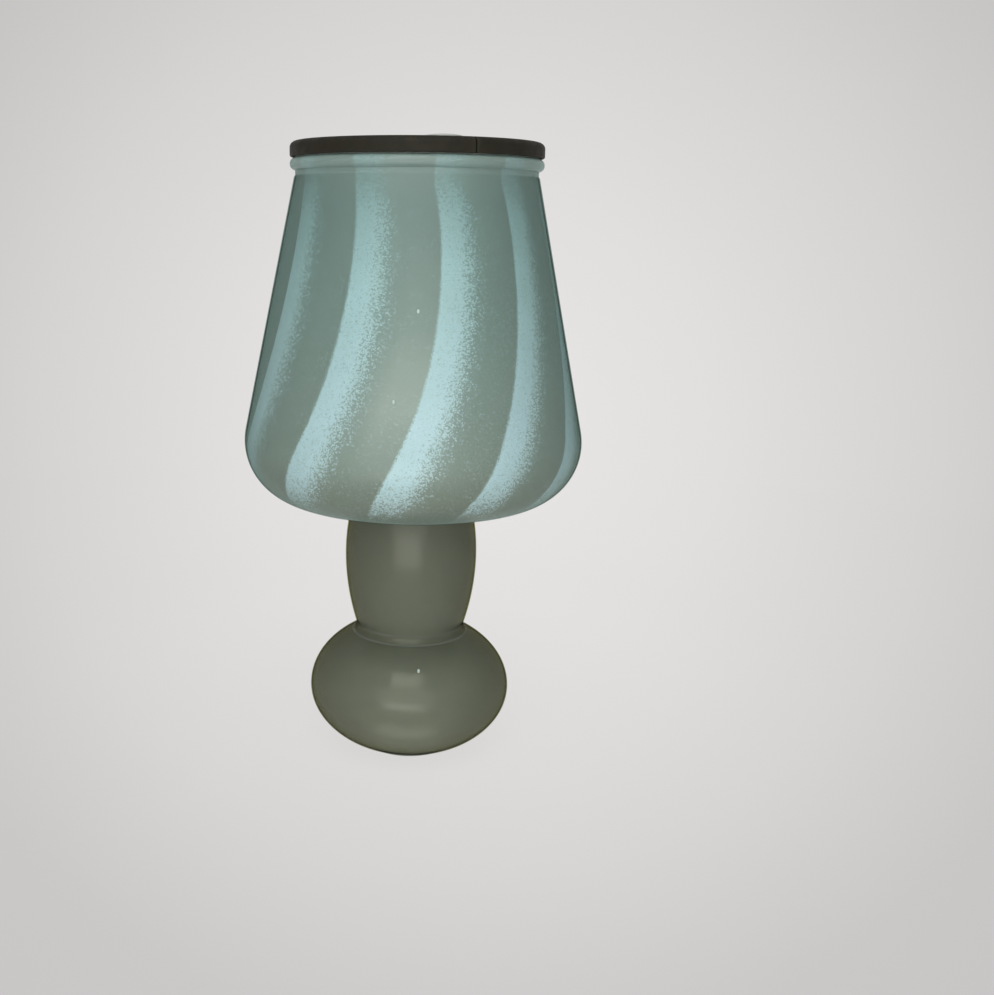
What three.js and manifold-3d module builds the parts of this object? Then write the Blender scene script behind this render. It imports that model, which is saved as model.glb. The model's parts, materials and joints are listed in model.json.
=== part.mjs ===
// Mushroom table lamp of frosted sea-green glass. A blown foot and stem carry a jar-shaped
// shade, and a closed dark lid on the jar's rim holds a battery light that shines down into it.
// Millimetres, +Z up, origin at the middle of the foot's underside, front towards -Y.

import * as THREE from 'three';
import { mergeVertices } from 'three/addons/utils/BufferGeometryUtils.js';
import Module from 'manifold-3d';

// Clearances
const seatGap = 0.3; // between a piece and the one it sits in or on
const turnGap = 0.5; // around pieces that swing
const bungGap = 0.4; // between the rubber bung and the glass round it
const cutOverrun = 1; // how far a cut reaches past the face it opens

// Facets
const glassSides = 48;
const lidSides = 48;
const innerSides = 36;
const smallSides = 24;
const pinSides = 12;
const wireSides = 6;

// Foot and stem glass
const padThickness = 1;
const padInset = 0.8;
const footRadius = 21.4;
const bulbRadius = 46.4;
const bulbWidestHeight = 29;
const creaseRadius = 24.2;
const creaseHeight = 56.9;
const barrelRadius = 30.2;
const barrelWidestShare = 0.6;
const stemTopRadius = 27.3;
const baseWall = 3;

// Shade glass
const floorHeight = 117.9;
const bellyRadius = 75.9;
const bellyRounding = 27.7;
const shadeWall = 3.4;
const rimHeight = 268.4;
const neckHeight = 8;
const beadHeight = 5.2;
const beadRadius = 55;
const beadStep = 1.8;
const rimWidth = 5.8;

// Bolted joint between stem and shade
const gasketThickness = 1.5;
const gasketInset = 1.8;
const boltRadius = 3;
const boltHeadRadius = 5.5;
const boltHeadHeight = 4;
const boltTail = 3;
const nutRadius = 5.8;
const nutHeight = 5;
const washerRadius = 14;
const washerThickness = 1.5;
const upperGasketRadius = 17;
const pullPlateRadius = 19;
const pullPlateThickness = 2;
const bungHeight = 16;

// Lid shell
const lidEdgeHeight = 6.8;
const crownRise = 1.6;
const bandThickness = 1.9;
const bandLip = 4.2;
const bandNose = 2.7;
const bandFootRounding = 0.8;
const seamWidth = 0.8;
const seamAzimuth = 28;
const coverThickness = 1.6;
const coverWall = 2.4;
const sealFlange = 0.9;
const sealSleeve = 1;
const finReach = 1.6;
const finHeight = 1.6;
const finPitch = 3;
const sealSkirt = 8;
const trayFlange = 1.5;
const trayWall = 1.8;
const trayFloor = 1.8;
const trayDepth = 18.2;

// Cells, their bay and its door
const cellRadius = 5.25;
const cellLength = 44.5;
const cellNubRadius = 1.9;
const cellNubLength = 0.8;
const cellShoulder = 0.5;
const cellSpacing = 0.5;
const contactThickness = 0.5;
const springLength = 2.4;
const springRadius = 3.2;
const springTipRadius = 1.4;
const springWire = 0.25;
const springTurns = 2;
const bayWall = 1.5;
const doorThickness = 1.6;
const doorPinRadius = 1;
const knuckleRadius = 1.9;
const knuckleWidth = 12;
const lugWidth = 3;
const doorPinHole = 0.25;
const doorRibWidth = 2.6;
const fingerLipReach = 2;
const fingerLipWidth = 12;
const fingerLipThickness = 1.5;

// Screws of the cover
const bossRadius = 3;
const bossAzimuths = [55, -55, 110, -110];
const lidScrewRadius = 1.2;
const lidScrewHeadRadius = 2.4;
const lidScrewHeadHeight = 1.4;
const lidScrewGrip = 9;

// Light, board and switch
const boardStandoff = 3.5;
const boardThickness = 1.6;
const postRadius = 2.4;
const boardScrewRadius = 0.9;
const boardScrewHeadRadius = 1.8;
const boardScrewHeadHeight = 1.1;
const boardScrewBite = 2.6;
const lensRadius = 8.7;
const lensFlangeRadius = 10.2;
const lensFlangeThickness = 1;
const lensDrop = 3;
const ledCount = 5;
const ledRingRadius = 5;
const ledSize = 2.8;
const ledHeight = 1.2;
const switchSize = 6;
const switchHeight = 4.5;
const plungerRadius = 1.7;
const plungerProud = 1;
const plungerDepth = 1.2;
const chipSize = 5;
const chipHeight = 1.3;
const buttonAzimuth = 17.5;
const buttonRadius = 7.75;
const buttonProud = 1.25;
const buttonShoulder = 0.5;
const buttonFlange = 1.1;
const buttonFlangeThickness = 1.4;
const buttonStemRadius = 2;
const buttonTravel = 1;
const leadRadius = 0.55;
const leadRise = 1.5;

// Levels worked out from the sizes above
const stemTop = floorHeight - gasketThickness;
const shadeFloorTop = floorHeight + shadeWall;
const washerBottom = shadeFloorTop + gasketThickness;
const boltHeadBottom = washerBottom + washerThickness;
const bungBottom = stemTop - bungHeight;
const nutTop = bungBottom - pullPlateThickness;
const coneTop = rimHeight - neckHeight;
const coneTopRadius = beadRadius - beadStep;
const neckRadius = beadRadius - rimWidth;
const sealTop = rimHeight + sealFlange;
const trayTop = sealTop + trayFlange;
const lidEdgeTop = rimHeight + lidEdgeHeight;
const ledgeTop = (trayTop + lidEdgeTop) / 2;
const ledgeRadius = beadRadius - bandThickness - seatGap;
const crownRadius = beadRadius - bandThickness - bandLip - seatGap;
const coverUnderside = lidEdgeTop - coverThickness;
const trayRadius = neckRadius - seatGap - finReach - sealSleeve - seatGap;
const trayBore = trayRadius - trayWall;
const trayFloorTop = trayTop - trayDepth;
const trayBottom = trayFloorTop - trayFloor;
const boardBottom = trayFloorTop + boardStandoff;
const boardTop = boardBottom + boardThickness;

// Bay levels and places: its rear corners touch the round wall of the tray
const bayHalfLength = (cellLength + springLength + 2 * contactThickness + 2 * seatGap) / 2;
const cellPitch = 2 * cellRadius + cellSpacing;
const bayDepth = 2 * cellPitch + cellSpacing;
const bayRear = Math.sqrt(trayBore ** 2 - (bayHalfLength + bayWall) ** 2) - bayWall;
const bayFront = bayRear - bayDepth;
const cellHeight = trayBottom + doorThickness + seatGap + cellRadius;
const bayTop = cellHeight + cellRadius + bayWall;
const cellRows = [bayFront + cellSpacing + cellRadius, bayRear - cellSpacing - cellRadius];
const lensPlace = [0, bayFront - bayWall - seatGap - lensFlangeRadius];
const hingeY = bayRear + knuckleRadius / 2;
const hingeHeight = trayBottom - seatGap - knuckleRadius;

const wasm = await Module();
wasm.setup();

// Turns a closed geometry into a solid that can be joined and cut.
function solidOf(geometry) {
  const plain = geometry.index ? geometry.toNonIndexed() : geometry.clone();
  plain.deleteAttribute('normal');
  plain.deleteAttribute('uv');
  const merged = mergeVertices(plain);
  const corners = merged.index.array;
  const places = merged.attributes.position.array;
  const kept = [];
  let volume = 0;
  for (let i = 0; i < corners.length; i += 3) {
    const [a, b, c] = [corners[i], corners[i + 1], corners[i + 2]];
    if (a === b || b === c || c === a) {
      continue;
    }
    kept.push([a, b, c]);
    const [p, q, r] = [a, b, c].map((k) => new THREE.Vector3().fromArray(places, 3 * k));
    volume += p.dot(q.cross(r));
  }
  const facing = volume < 0 ? kept.map(([a, b, c]) => [a, c, b]) : kept;
  return new wasm.Manifold(new wasm.Mesh({
    numProp: 3,
    vertProperties: new Float32Array(places),
    triVerts: new Uint32Array(facing.flat()),
  }));
}

// Turns a solid back into a geometry with flat facets.
function geometryOf(solid) {
  const mesh = solid.getMesh();
  const geometry = new THREE.BufferGeometry();
  geometry.setAttribute('position', new THREE.BufferAttribute(mesh.vertProperties, mesh.numProp));
  geometry.setIndex(new THREE.BufferAttribute(mesh.triVerts, 1));
  geometry.computeVertexNormals();
  return geometry;
}

// A closed outline of [radius, height] points turned about the vertical axis through a place.
function turned(outline, sides, [x, y] = [0, 0]) {
  const points = outline.map(([radius, height]) => new THREE.Vector2(radius, height));
  const onAxis = outline[0][0] === 0;
  if (!onAxis) {
    points.push(points[0].clone());
  }
  const geometry = new THREE.LatheGeometry(points, sides);
  geometry.rotateX(Math.PI / 2);
  geometry.translate(x, y, 0);
  return solidOf(geometry);
}

function drum(radius, low, high, sides, [x, y] = [0, 0]) {
  const geometry = new THREE.CylinderGeometry(radius, radius, high - low, sides);
  geometry.rotateX(Math.PI / 2);
  geometry.translate(x, y, (low + high) / 2);
  return solidOf(geometry);
}

// A round bar along X.
function crossDrum(radius, left, right, sides, [y, z]) {
  const geometry = new THREE.CylinderGeometry(radius, radius, right - left, sides);
  geometry.rotateZ(Math.PI / 2);
  geometry.translate((left + right) / 2, y, z);
  return solidOf(geometry);
}

function block([x0, x1], [y0, y1], [z0, z1]) {
  const geometry = new THREE.BoxGeometry(x1 - x0, y1 - y0, z1 - z0);
  geometry.translate((x0 + x1) / 2, (y0 + y1) / 2, (z0 + z1) / 2);
  return solidOf(geometry);
}

function around([x, y], half) {
  return [[x - half, x + half], [y - half, y + half]];
}

// A place on a circle, by its azimuth in degrees from the front towards +X.
function placeAt(radius, azimuth) {
  const angle = THREE.MathUtils.degToRad(azimuth);
  return [radius * Math.sin(angle), -radius * Math.cos(angle)];
}

// Points of an elliptical arc; angles in radians from the outward direction up.
function arc([radius, height], [across, up], from, to, steps) {
  const points = [];
  for (let i = 0; i <= steps; i += 1) {
    const angle = from + ((to - from) * i) / steps;
    points.push([radius + across * Math.cos(angle), height + up * Math.sin(angle)]);
  }
  return points;
}

function wire(points, radius, stepsPerPoint) {
  const section = new THREE.Shape();
  for (let i = 0; i < wireSides; i += 1) {
    const angle = (2 * Math.PI * i) / wireSides;
    const corner = [radius * Math.cos(angle), radius * Math.sin(angle)];
    if (i === 0) {
      section.moveTo(...corner);
    } else {
      section.lineTo(...corner);
    }
  }
  const path = new THREE.CatmullRomCurve3(points.map((p) => new THREE.Vector3(...p)));
  const steps = stepsPerPoint * (points.length - 1);
  return solidOf(new THREE.ExtrudeGeometry(section, { extrudePath: path, steps }));
}

const lamp = new THREE.Group();

function addPiece(name, solid, { color, roughness, metalness = 0, opacity = 1 }) {
  const material = new THREE.MeshStandardMaterial({ color, roughness, metalness });
  material.transparent = opacity < 1;
  material.opacity = opacity;
  const mesh = new THREE.Mesh(geometryOf(solid), material);
  mesh.name = name;
  lamp.add(mesh);
}

const plainGlass = { color: 0x6f7666, roughness: 0.45, opacity: 0.96 };
const stripedGlass = { color: 0x8fb3aa, roughness: 0.4, opacity: 0.94 };
const darkShell = { color: 0x302e26, roughness: 0.55 };
const innerPlastic = { color: 0x3a3934, roughness: 0.6 };
const softRubber = { color: 0x8c928a, roughness: 0.8 };
const steel = { color: 0xb4b6b5, roughness: 0.35, metalness: 1 };
const tinned = { color: 0xc9c7bd, roughness: 0.3, metalness: 1 };
const boardGreen = { color: 0x2e5a45, roughness: 0.5 };
const blackPlastic = { color: 0x1c1c1c, roughness: 0.5 };
const milky = { color: 0xe6e4da, roughness: 0.35, opacity: 0.8 };
const frostedGrey = { color: 0x9a9d97, roughness: 0.4, opacity: 0.85 };
const ledYellow = { color: 0xe8d98a, roughness: 0.4 };
const cellSleeve = { color: 0x50606a, roughness: 0.4, metalness: 0.3 };
const redSleeve = { color: 0xa03028, roughness: 0.5 };
const blackSleeve = { color: 0x202020, roughness: 0.5 };

// Glass foot and stem: a squat bulb with a hollow barrel above its crease, open at the top.
const footAngle = Math.acos(footRadius / bulbRadius);
const creaseAngle = Math.acos(creaseRadius / bulbRadius);
const lowerBulb = (bulbWidestHeight - padThickness) / Math.sin(footAngle);
const upperBulb = (creaseHeight - bulbWidestHeight) / Math.sin(creaseAngle);
const barrelWidest = creaseHeight + barrelWidestShare * (stemTop - creaseHeight);

function stemRadiusAt(height) {
  const low = height < barrelWidest;
  const endRadius = low ? creaseRadius : stemTopRadius;
  const reach = low ? barrelWidest - creaseHeight : stemTop - barrelWidest;
  const share = (height - barrelWidest) / reach;
  return barrelRadius - (barrelRadius - endRadius) * share ** 2;
}

function stemWallPoints(from, to, steps, inset) {
  const points = [];
  for (let i = 0; i <= steps; i += 1) {
    const height = from + ((to - from) * i) / steps;
    points.push([stemRadiusAt(height) - inset, height]);
  }
  return points;
}

function baseGlass() {
  const bulbSteps = 6;
  const barrelSteps = 7;
  const innerSteps = 4;
  const centre = [0, bulbWidestHeight];
  const innerRadius = bulbRadius - baseWall;
  const innerFloor = padThickness + baseWall;
  const innerLower = lowerBulb - baseWall;
  const innerFloorAngle = Math.asin((bulbWidestHeight - innerFloor) / innerLower);
  const innerCreaseAngle = Math.acos((creaseRadius - baseWall) / innerRadius);
  return turned([
    [0, padThickness],
    ...arc(centre, [bulbRadius, lowerBulb], -footAngle, 0, bulbSteps),
    ...arc(centre, [bulbRadius, upperBulb], 0, creaseAngle, bulbSteps).slice(1, -1),
    ...stemWallPoints(creaseHeight, stemTop, barrelSteps, 0),
    ...stemWallPoints(stemTop, creaseHeight, innerSteps, baseWall),
    ...arc(centre, [innerRadius, upperBulb - baseWall], innerCreaseAngle, 0, innerSteps).slice(0, -1),
    ...arc(centre, [innerRadius, innerLower], 0, -innerFloorAngle, innerSteps),
    [0, innerFloor],
  ], glassSides);
}

function footPad() {
  return drum(footRadius - padInset, 0, padThickness, glassSides);
}

addPiece('base_glass', baseGlass(), plainGlass);
addPiece('foot_pad', footPad(), softRubber);

// Shade glass: a flat floor, a rounded belly, a straight cone and a neck with a beaded rim.
function shadeGlass() {
  const bellySteps = 8;
  const beadSteps = 4;
  const centre = [bellyRadius - bellyRounding, floorHeight + bellyRounding];
  const toConeTop = [coneTopRadius - centre[0], coneTop - centre[1]];
  const tangentAngle = Math.atan2(toConeTop[1], toConeTop[0])
    - Math.acos(bellyRounding / Math.hypot(...toConeTop));
  const inward = [shadeWall * Math.cos(tangentAngle), shadeWall * Math.sin(tangentAngle)];
  const innerRounding = bellyRounding - shadeWall;
  const down = -Math.PI / 2;
  const beadHalf = beadHeight / 2;
  const bead = arc([coneTopRadius, rimHeight - beadHalf], [beadStep, beadHalf], down, -down, beadSteps);
  const hole = boltRadius + seatGap;
  return turned([
    [hole, floorHeight],
    ...arc(centre, [bellyRounding, bellyRounding], down, tangentAngle, bellySteps),
    [coneTopRadius, coneTop],
    ...bead,
    [neckRadius, rimHeight],
    [neckRadius, coneTop],
    [coneTopRadius - inward[0], coneTop - inward[1]],
    ...arc(centre, [innerRounding, innerRounding], tangentAngle, down, bellySteps),
    [hole, shadeFloorTop],
  ], glassSides);
}

addPiece('shade_glass', shadeGlass(), stripedGlass);

// Joint of stem and shade: the bolt draws a steel plate up and squeezes a rubber bung that is
// wider than the stem's mouth, so the glass is gripped from inside.
function washer(radius, low, high) {
  const hole = boltRadius + seatGap;
  return turned([[hole, low], [radius, low], [radius, high], [hole, high]], smallSides);
}

function stemBung() {
  const hole = boltRadius + seatGap;
  const bungSteps = 3;
  return turned([
    [hole, bungBottom],
    ...stemWallPoints(bungBottom, stemTop, bungSteps, baseWall + bungGap),
    [hole, stemTop],
  ], innerSides);
}

function clampNut() {
  const hexSides = 6;
  const nut = drum(nutRadius, nutTop - nutHeight, nutTop, hexSides);
  const low = nutTop - nutHeight - cutOverrun;
  return nut.subtract(drum(boltRadius + seatGap, low, nutTop + cutOverrun, pinSides));
}

function clampBolt() {
  const tailEnd = nutTop - nutHeight - boltTail;
  const domeSteps = 3;
  return turned([
    [0, tailEnd],
    [boltRadius, tailEnd],
    [boltRadius, boltHeadBottom],
    [boltHeadRadius, boltHeadBottom],
    ...arc([0, boltHeadBottom + boltHeadHeight / 2], [boltHeadRadius, boltHeadHeight / 2],
      0, Math.PI / 2, domeSteps).slice(0, -1),
    [0, boltHeadBottom + boltHeadHeight],
  ], pinSides);
}

addPiece('lower_gasket', washer(stemTopRadius - gasketInset, stemTop, floorHeight), softRubber);
addPiece('upper_gasket', washer(upperGasketRadius, shadeFloorTop, washerBottom), softRubber);
addPiece('clamp_washer', washer(washerRadius, washerBottom, boltHeadBottom), steel);
addPiece('stem_bung', stemBung(), softRubber);
addPiece('pull_plate', washer(pullPlateRadius, nutTop, bungBottom), steel);
addPiece('clamp_nut', clampNut(), steel);
addPiece('clamp_bolt', clampBolt(), steel);

// Soft seal between the glass rim and the lid, with two fins inside the neck.
function rimSeal() {
  const inner = trayRadius + seatGap;
  const sleeve = inner + sealSleeve;
  const skirtEnd = rimHeight - sealSkirt;
  const fin = (low) => [
    [sleeve, low],
    [sleeve + finReach, low + finHeight / 2],
    [sleeve, low + finHeight],
  ];
  const firstFin = skirtEnd + finHeight / 2;
  return turned([
    [inner, skirtEnd],
    [sleeve, skirtEnd],
    ...fin(firstFin),
    ...fin(firstFin + finPitch),
    [sleeve, rimHeight],
    [ledgeRadius, rimHeight],
    [ledgeRadius, sealTop],
    [inner, sealTop],
  ], innerSides);
}

addPiece('rim_seal', rimSeal(), softRubber);

// Lid cover: a crowned disc on a ledge, with four screw bosses and the hole for the button.
const bossCircle = trayBore - bossRadius - turnGap;
const bossPlaces = bossAzimuths.map((azimuth) => placeAt(bossCircle, azimuth));
const buttonCircle = trayBore - buttonRadius - buttonFlange - turnGap;
const buttonPlace = placeAt(buttonCircle, buttonAzimuth);
const screwHole = lidScrewRadius + seatGap;
const lidScrewTip = trayFloorTop + lidScrewGrip;

function crownAt(radius) {
  return lidEdgeTop + crownRise * (1 - (radius / crownRadius) ** 2);
}

function lidCover() {
  const crownSteps = 5;
  const crown = [];
  for (let i = 0; i <= crownSteps; i += 1) {
    const radius = crownRadius * (1 - i / crownSteps);
    crown.push([radius, crownAt(radius)]);
  }
  const bossTop = coverUnderside + coverThickness / 2;
  let cover = turned([
    [0, coverUnderside],
    [ledgeRadius - coverWall - bandLip, coverUnderside],
    [ledgeRadius - coverWall - bandLip, trayTop],
    [ledgeRadius, trayTop],
    [ledgeRadius, ledgeTop],
    [crownRadius, ledgeTop],
    ...crown,
  ], lidSides);
  for (const place of bossPlaces) {
    cover = cover.add(drum(bossRadius, trayFloorTop + seatGap, bossTop, pinSides, place));
  }
  for (const place of bossPlaces) {
    cover = cover.subtract(drum(screwHole, trayFloorTop, lidScrewTip + seatGap, pinSides, place));
  }
  const holeTop = crownAt(0) + cutOverrun;
  const holeRadius = buttonRadius + seatGap;
  return cover.subtract(drum(holeRadius, coverUnderside - cutOverrun, holeTop, smallSides, buttonPlace));
}

// Band: the trim strip that wraps the lid's edge, with its two ends meeting at the seam.
function lidBand() {
  const inner = ledgeRadius + seatGap;
  const foot = rimHeight + seatGap;
  const lipBottom = ledgeTop + seatGap;
  const noseSteps = 5;
  const footSteps = 2;
  const nose = [beadRadius - bandNose, lidEdgeTop - bandNose];
  const heel = [beadRadius - bandFootRounding, foot + bandFootRounding];
  const band = turned([
    [inner, foot],
    ...arc(heel, [bandFootRounding, bandFootRounding], -Math.PI / 2, 0, footSteps),
    ...arc(nose, [bandNose, bandNose], 0, Math.PI / 2, noseSteps),
    [crownRadius + seatGap, lidEdgeTop],
    [crownRadius + seatGap, lipBottom],
    [inner, lipBottom],
  ], lidSides);
  const seam = block([-seamWidth / 2, seamWidth / 2], [-beadRadius - cutOverrun, 0],
    [rimHeight, lidEdgeTop + cutOverrun]);
  return band.subtract(seam.rotate([0, 0, seamAzimuth]));
}

addPiece('lid_cover', lidCover(), darkShell);
addPiece('lid_band', lidBand(), darkShell);

// Tray: the cup that hangs inside the neck, with the cell bay, board posts and hinge lugs.
const bayX = [-bayHalfLength, bayHalfLength];
const bayY = [bayFront, bayRear];
const postCircle = lensFlangeRadius + postRadius + turnGap;
const postPlaces = [
  [lensPlace[0] - postCircle, lensPlace[1]],
  [lensPlace[0] + postCircle, lensPlace[1]],
  placeAt(buttonCircle, -buttonAzimuth),
];
const postHole = boardScrewRadius + seatGap;

function trayCup() {
  const cornerChamfer = trayFloor / 2;
  return turned([
    [0, trayBottom],
    [trayRadius - cornerChamfer, trayBottom],
    [trayRadius, trayBottom + cornerChamfer],
    [trayRadius, sealTop],
    [ledgeRadius, sealTop],
    [ledgeRadius, trayTop],
    [trayBore, trayTop],
    [trayBore, trayFloorTop],
    [0, trayFloorTop],
  ], innerSides);
}

// A lug is round about the pin and stands behind the bay, clear of the door's swinging edge.
function hingeLug(left) {
  const right = left + lugWidth;
  return block([left, right], [bayRear, hingeY + knuckleRadius],
    [hingeHeight, trayBottom + trayFloor / 2])
    .add(crossDrum(knuckleRadius, left, right, smallSides, [hingeY, hingeHeight]));
}

function lidTray() {
  const wallX = [bayX[0] - bayWall, bayX[1] + bayWall];
  const wallY = [bayY[0] - bayWall, bayY[1] + bayWall];
  const floorMiddle = trayFloorTop - trayFloor / 2;
  const lugStart = knuckleWidth / 2 + seatGap;
  let tray = trayCup().add(block(wallX, wallY, [floorMiddle, bayTop]));
  for (const place of postPlaces) {
    tray = tray.add(drum(postRadius, floorMiddle, boardBottom, pinSides, place));
  }
  tray = tray.add(hingeLug(lugStart)).add(hingeLug(-lugStart - lugWidth));
  tray = tray.subtract(block(bayX, bayY, [trayBottom - cutOverrun, bayTop + cutOverrun]));
  for (const place of postPlaces) {
    tray = tray.subtract(drum(postHole, boardBottom - boardScrewBite, boardTop, pinSides, place));
  }
  for (const place of bossPlaces) {
    tray = tray.subtract(drum(screwHole, trayBottom - cutOverrun, trayTop, pinSides, place));
  }
  tray = tray.subtract(drum(lensRadius + seatGap, trayBottom - cutOverrun, trayTop, smallSides, lensPlace));
  const pinReach = lugStart + lugWidth + cutOverrun;
  const pinHole = doorPinRadius + doorPinHole;
  return tray.subtract(crossDrum(pinHole, -pinReach, pinReach, pinSides, [hingeY, hingeHeight]));
}

function lidScrew(place) {
  const head = trayBottom - lidScrewHeadHeight;
  return turned([
    [0, head],
    [lidScrewHeadRadius, head],
    [lidScrewHeadRadius, trayBottom],
    [lidScrewRadius, trayBottom],
    [lidScrewRadius, lidScrewTip],
    [0, lidScrewTip],
  ], pinSides, place);
}

addPiece('lid_tray', lidTray(), innerPlastic);
bossPlaces.forEach((place, i) => addPiece(`lid_screw_${i + 1}`, lidScrew(place), steel));

// Cells and their contacts: the front cell's nub points right, the rear one's left.
function cell(row, direction) {
  const sleeveEnd = cellLength - cellNubLength;
  const geometry = new THREE.LatheGeometry([
    [0, 0],
    [cellRadius - cellShoulder, 0],
    [cellRadius, cellShoulder],
    [cellRadius, sleeveEnd - cellShoulder],
    [cellRadius - cellShoulder, sleeveEnd],
    [cellNubRadius, sleeveEnd],
    [cellNubRadius, cellLength],
    [0, cellLength],
  ].map(([radius, along]) => new THREE.Vector2(radius, along)), smallSides);
  geometry.rotateZ(-direction * Math.PI / 2);
  const nubEnd = bayHalfLength - contactThickness - seatGap;
  geometry.translate(direction * (nubEnd - cellLength), cellRows[row], cellHeight);
  return solidOf(geometry);
}

function contactPlate(side, rows) {
  const outer = side * bayHalfLength;
  const inner = side * (bayHalfLength - contactThickness);
  const across = [Math.min(outer, inner), Math.max(outer, inner)];
  const half = cellRadius - cellSpacing;
  const deep = [cellRows[rows[0]] - half, cellRows[rows[1]] + half];
  return block(across, deep, [cellHeight - half, bayTop]);
}

// A conical spring: wide at its plate and narrow at the cell, so that its turns nest.
function contactSpring(row, direction) {
  const stepsPerTurn = 8;
  const steps = stepsPerTurn * springTurns;
  const nearPlate = bayHalfLength - contactThickness - springWire - seatGap / 2;
  const coilLength = springLength - 2 * springWire - seatGap;
  const points = [];
  for (let i = 0; i <= steps; i += 1) {
    const angle = (2 * Math.PI * i) / stepsPerTurn;
    const along = nearPlate - (coilLength * i) / steps;
    const radius = springRadius + ((springTipRadius - springRadius) * i) / steps;
    points.push([-direction * along, cellRows[row] + radius * Math.cos(angle),
      cellHeight + radius * Math.sin(angle)]);
  }
  return wire(points, springWire, 1);
}

addPiece('battery_1', cell(0, 1), cellSleeve);
addPiece('battery_2', cell(1, -1), cellSleeve);
addPiece('terminal_plus', contactPlate(1, [0, 0]), tinned);
addPiece('terminal_minus', contactPlate(1, [1, 1]), tinned);
addPiece('bridge_contact', contactPlate(-1, [0, 1]), tinned);
addPiece('contact_spring_1', contactSpring(0, 1), tinned);
addPiece('contact_spring_2', contactSpring(1, -1), tinned);

// Door of the cell bay: it swings down on a pin behind the cells, with a finger lip in front.
function batteryDoor() {
  const front = bayFront + turnGap;
  const rear = bayRear - turnGap;
  const halfLip = fingerLipWidth / 2;
  const lipBottom = trayBottom - seatGap - fingerLipThickness;
  const plateMiddle = trayBottom + doorThickness / 2;
  const halfKnuckle = knuckleWidth / 2;
  const lipX = [-halfLip, halfLip];
  const plateX = [bayX[0] + turnGap, bayX[1] - turnGap];
  const ribX = [-halfKnuckle, halfKnuckle];
  return block(plateX, [front, rear], [trayBottom, trayBottom + doorThickness])
    .add(block(lipX, [front, front + doorRibWidth], [lipBottom, plateMiddle]))
    .add(block(lipX, [front - fingerLipReach, front + doorRibWidth], [lipBottom, trayBottom - seatGap]))
    .add(block(ribX, [rear - doorRibWidth, rear], [hingeHeight - seatGap, plateMiddle]))
    .add(crossDrum(knuckleRadius, -halfKnuckle, halfKnuckle, smallSides, [hingeY, hingeHeight]))
    .subtract(crossDrum(doorPinRadius + doorPinHole, -halfKnuckle - cutOverrun, halfKnuckle + cutOverrun,
      pinSides, [hingeY, hingeHeight]));
}

function doorPin() {
  const reach = knuckleWidth / 2 + seatGap + lugWidth;
  return crossDrum(doorPinRadius, -reach, reach, pinSides, [hingeY, hingeHeight]);
}

addPiece('battery_door', batteryDoor(), innerPlastic);
addPiece('door_pin', doorPin(), steel);

// Lens, light board and switch
function lightLens() {
  const domeSteps = 4;
  const flangeTop = trayFloorTop + lensFlangeThickness;
  return turned([
    [0, trayBottom - lensDrop],
    ...arc([0, trayBottom], [lensRadius, lensDrop], -Math.PI / 2, 0, domeSteps).slice(1),
    [lensRadius, trayFloorTop],
    [lensFlangeRadius, trayFloorTop],
    [lensFlangeRadius, flangeTop],
    [0, flangeTop],
  ], smallSides, lensPlace);
}

function circuitBoard() {
  const boardRadius = trayBore - turnGap;
  const edge = bayFront - bayWall - turnGap;
  let board = drum(boardRadius, boardBottom, boardTop, innerSides).intersect(
    block([-boardRadius, boardRadius], [-boardRadius - cutOverrun, edge], [boardBottom - cutOverrun,
      boardTop + cutOverrun]),
  );
  const holes = bossPlaces.map((place) => [place, bossRadius + turnGap])
    .concat(postPlaces.map((place) => [place, postHole]));
  for (const [place, radius] of holes) {
    board = board.subtract(drum(radius, boardBottom - cutOverrun, boardTop + cutOverrun, pinSides, place));
  }
  return board;
}

function boardScrew(place) {
  const tip = boardBottom - boardScrewBite + seatGap;
  return turned([
    [0, tip],
    [boardScrewRadius, tip],
    [boardScrewRadius, boardTop],
    [boardScrewHeadRadius, boardTop],
    [boardScrewHeadRadius, boardTop + boardScrewHeadHeight],
    [0, boardTop + boardScrewHeadHeight],
  ], pinSides, place);
}

function led(index) {
  const [x, y] = placeAt(ledRingRadius, (index * 360) / ledCount);
  const place = [x + lensPlace[0], y + lensPlace[1]];
  return block(...around(place, ledSize / 2), [boardBottom - ledHeight, boardBottom]);
}

const switchTop = boardTop + switchHeight;
const plungerTop = switchTop + plungerProud;

function switchBody() {
  const wellBottom = switchTop - plungerDepth - buttonTravel - seatGap;
  return block(...around(buttonPlace, switchSize / 2), [boardTop, switchTop])
    .subtract(drum(plungerRadius + seatGap, wellBottom, switchTop + cutOverrun, pinSides, buttonPlace));
}

function timerChip() {
  const place = placeAt(buttonCircle - switchSize - chipSize, 0);
  return block(...around(place, chipSize / 2), [boardTop, boardTop + chipHeight]);
}

addPiece('light_lens', lightLens(), milky);
addPiece('circuit_board', circuitBoard(), boardGreen);
postPlaces.forEach((place, i) => addPiece(`board_screw_${i + 1}`, boardScrew(place), steel));
for (let i = 0; i < ledCount; i += 1) {
  addPiece(`led_${i + 1}`, led(i), ledYellow);
}
addPiece('timer_chip', timerChip(), blackPlastic);
addPiece('switch_body', switchBody(), blackPlastic);
addPiece('switch_plunger', drum(plungerRadius, switchTop - plungerDepth, plungerTop, pinSides, buttonPlace),
  blackPlastic);

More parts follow.
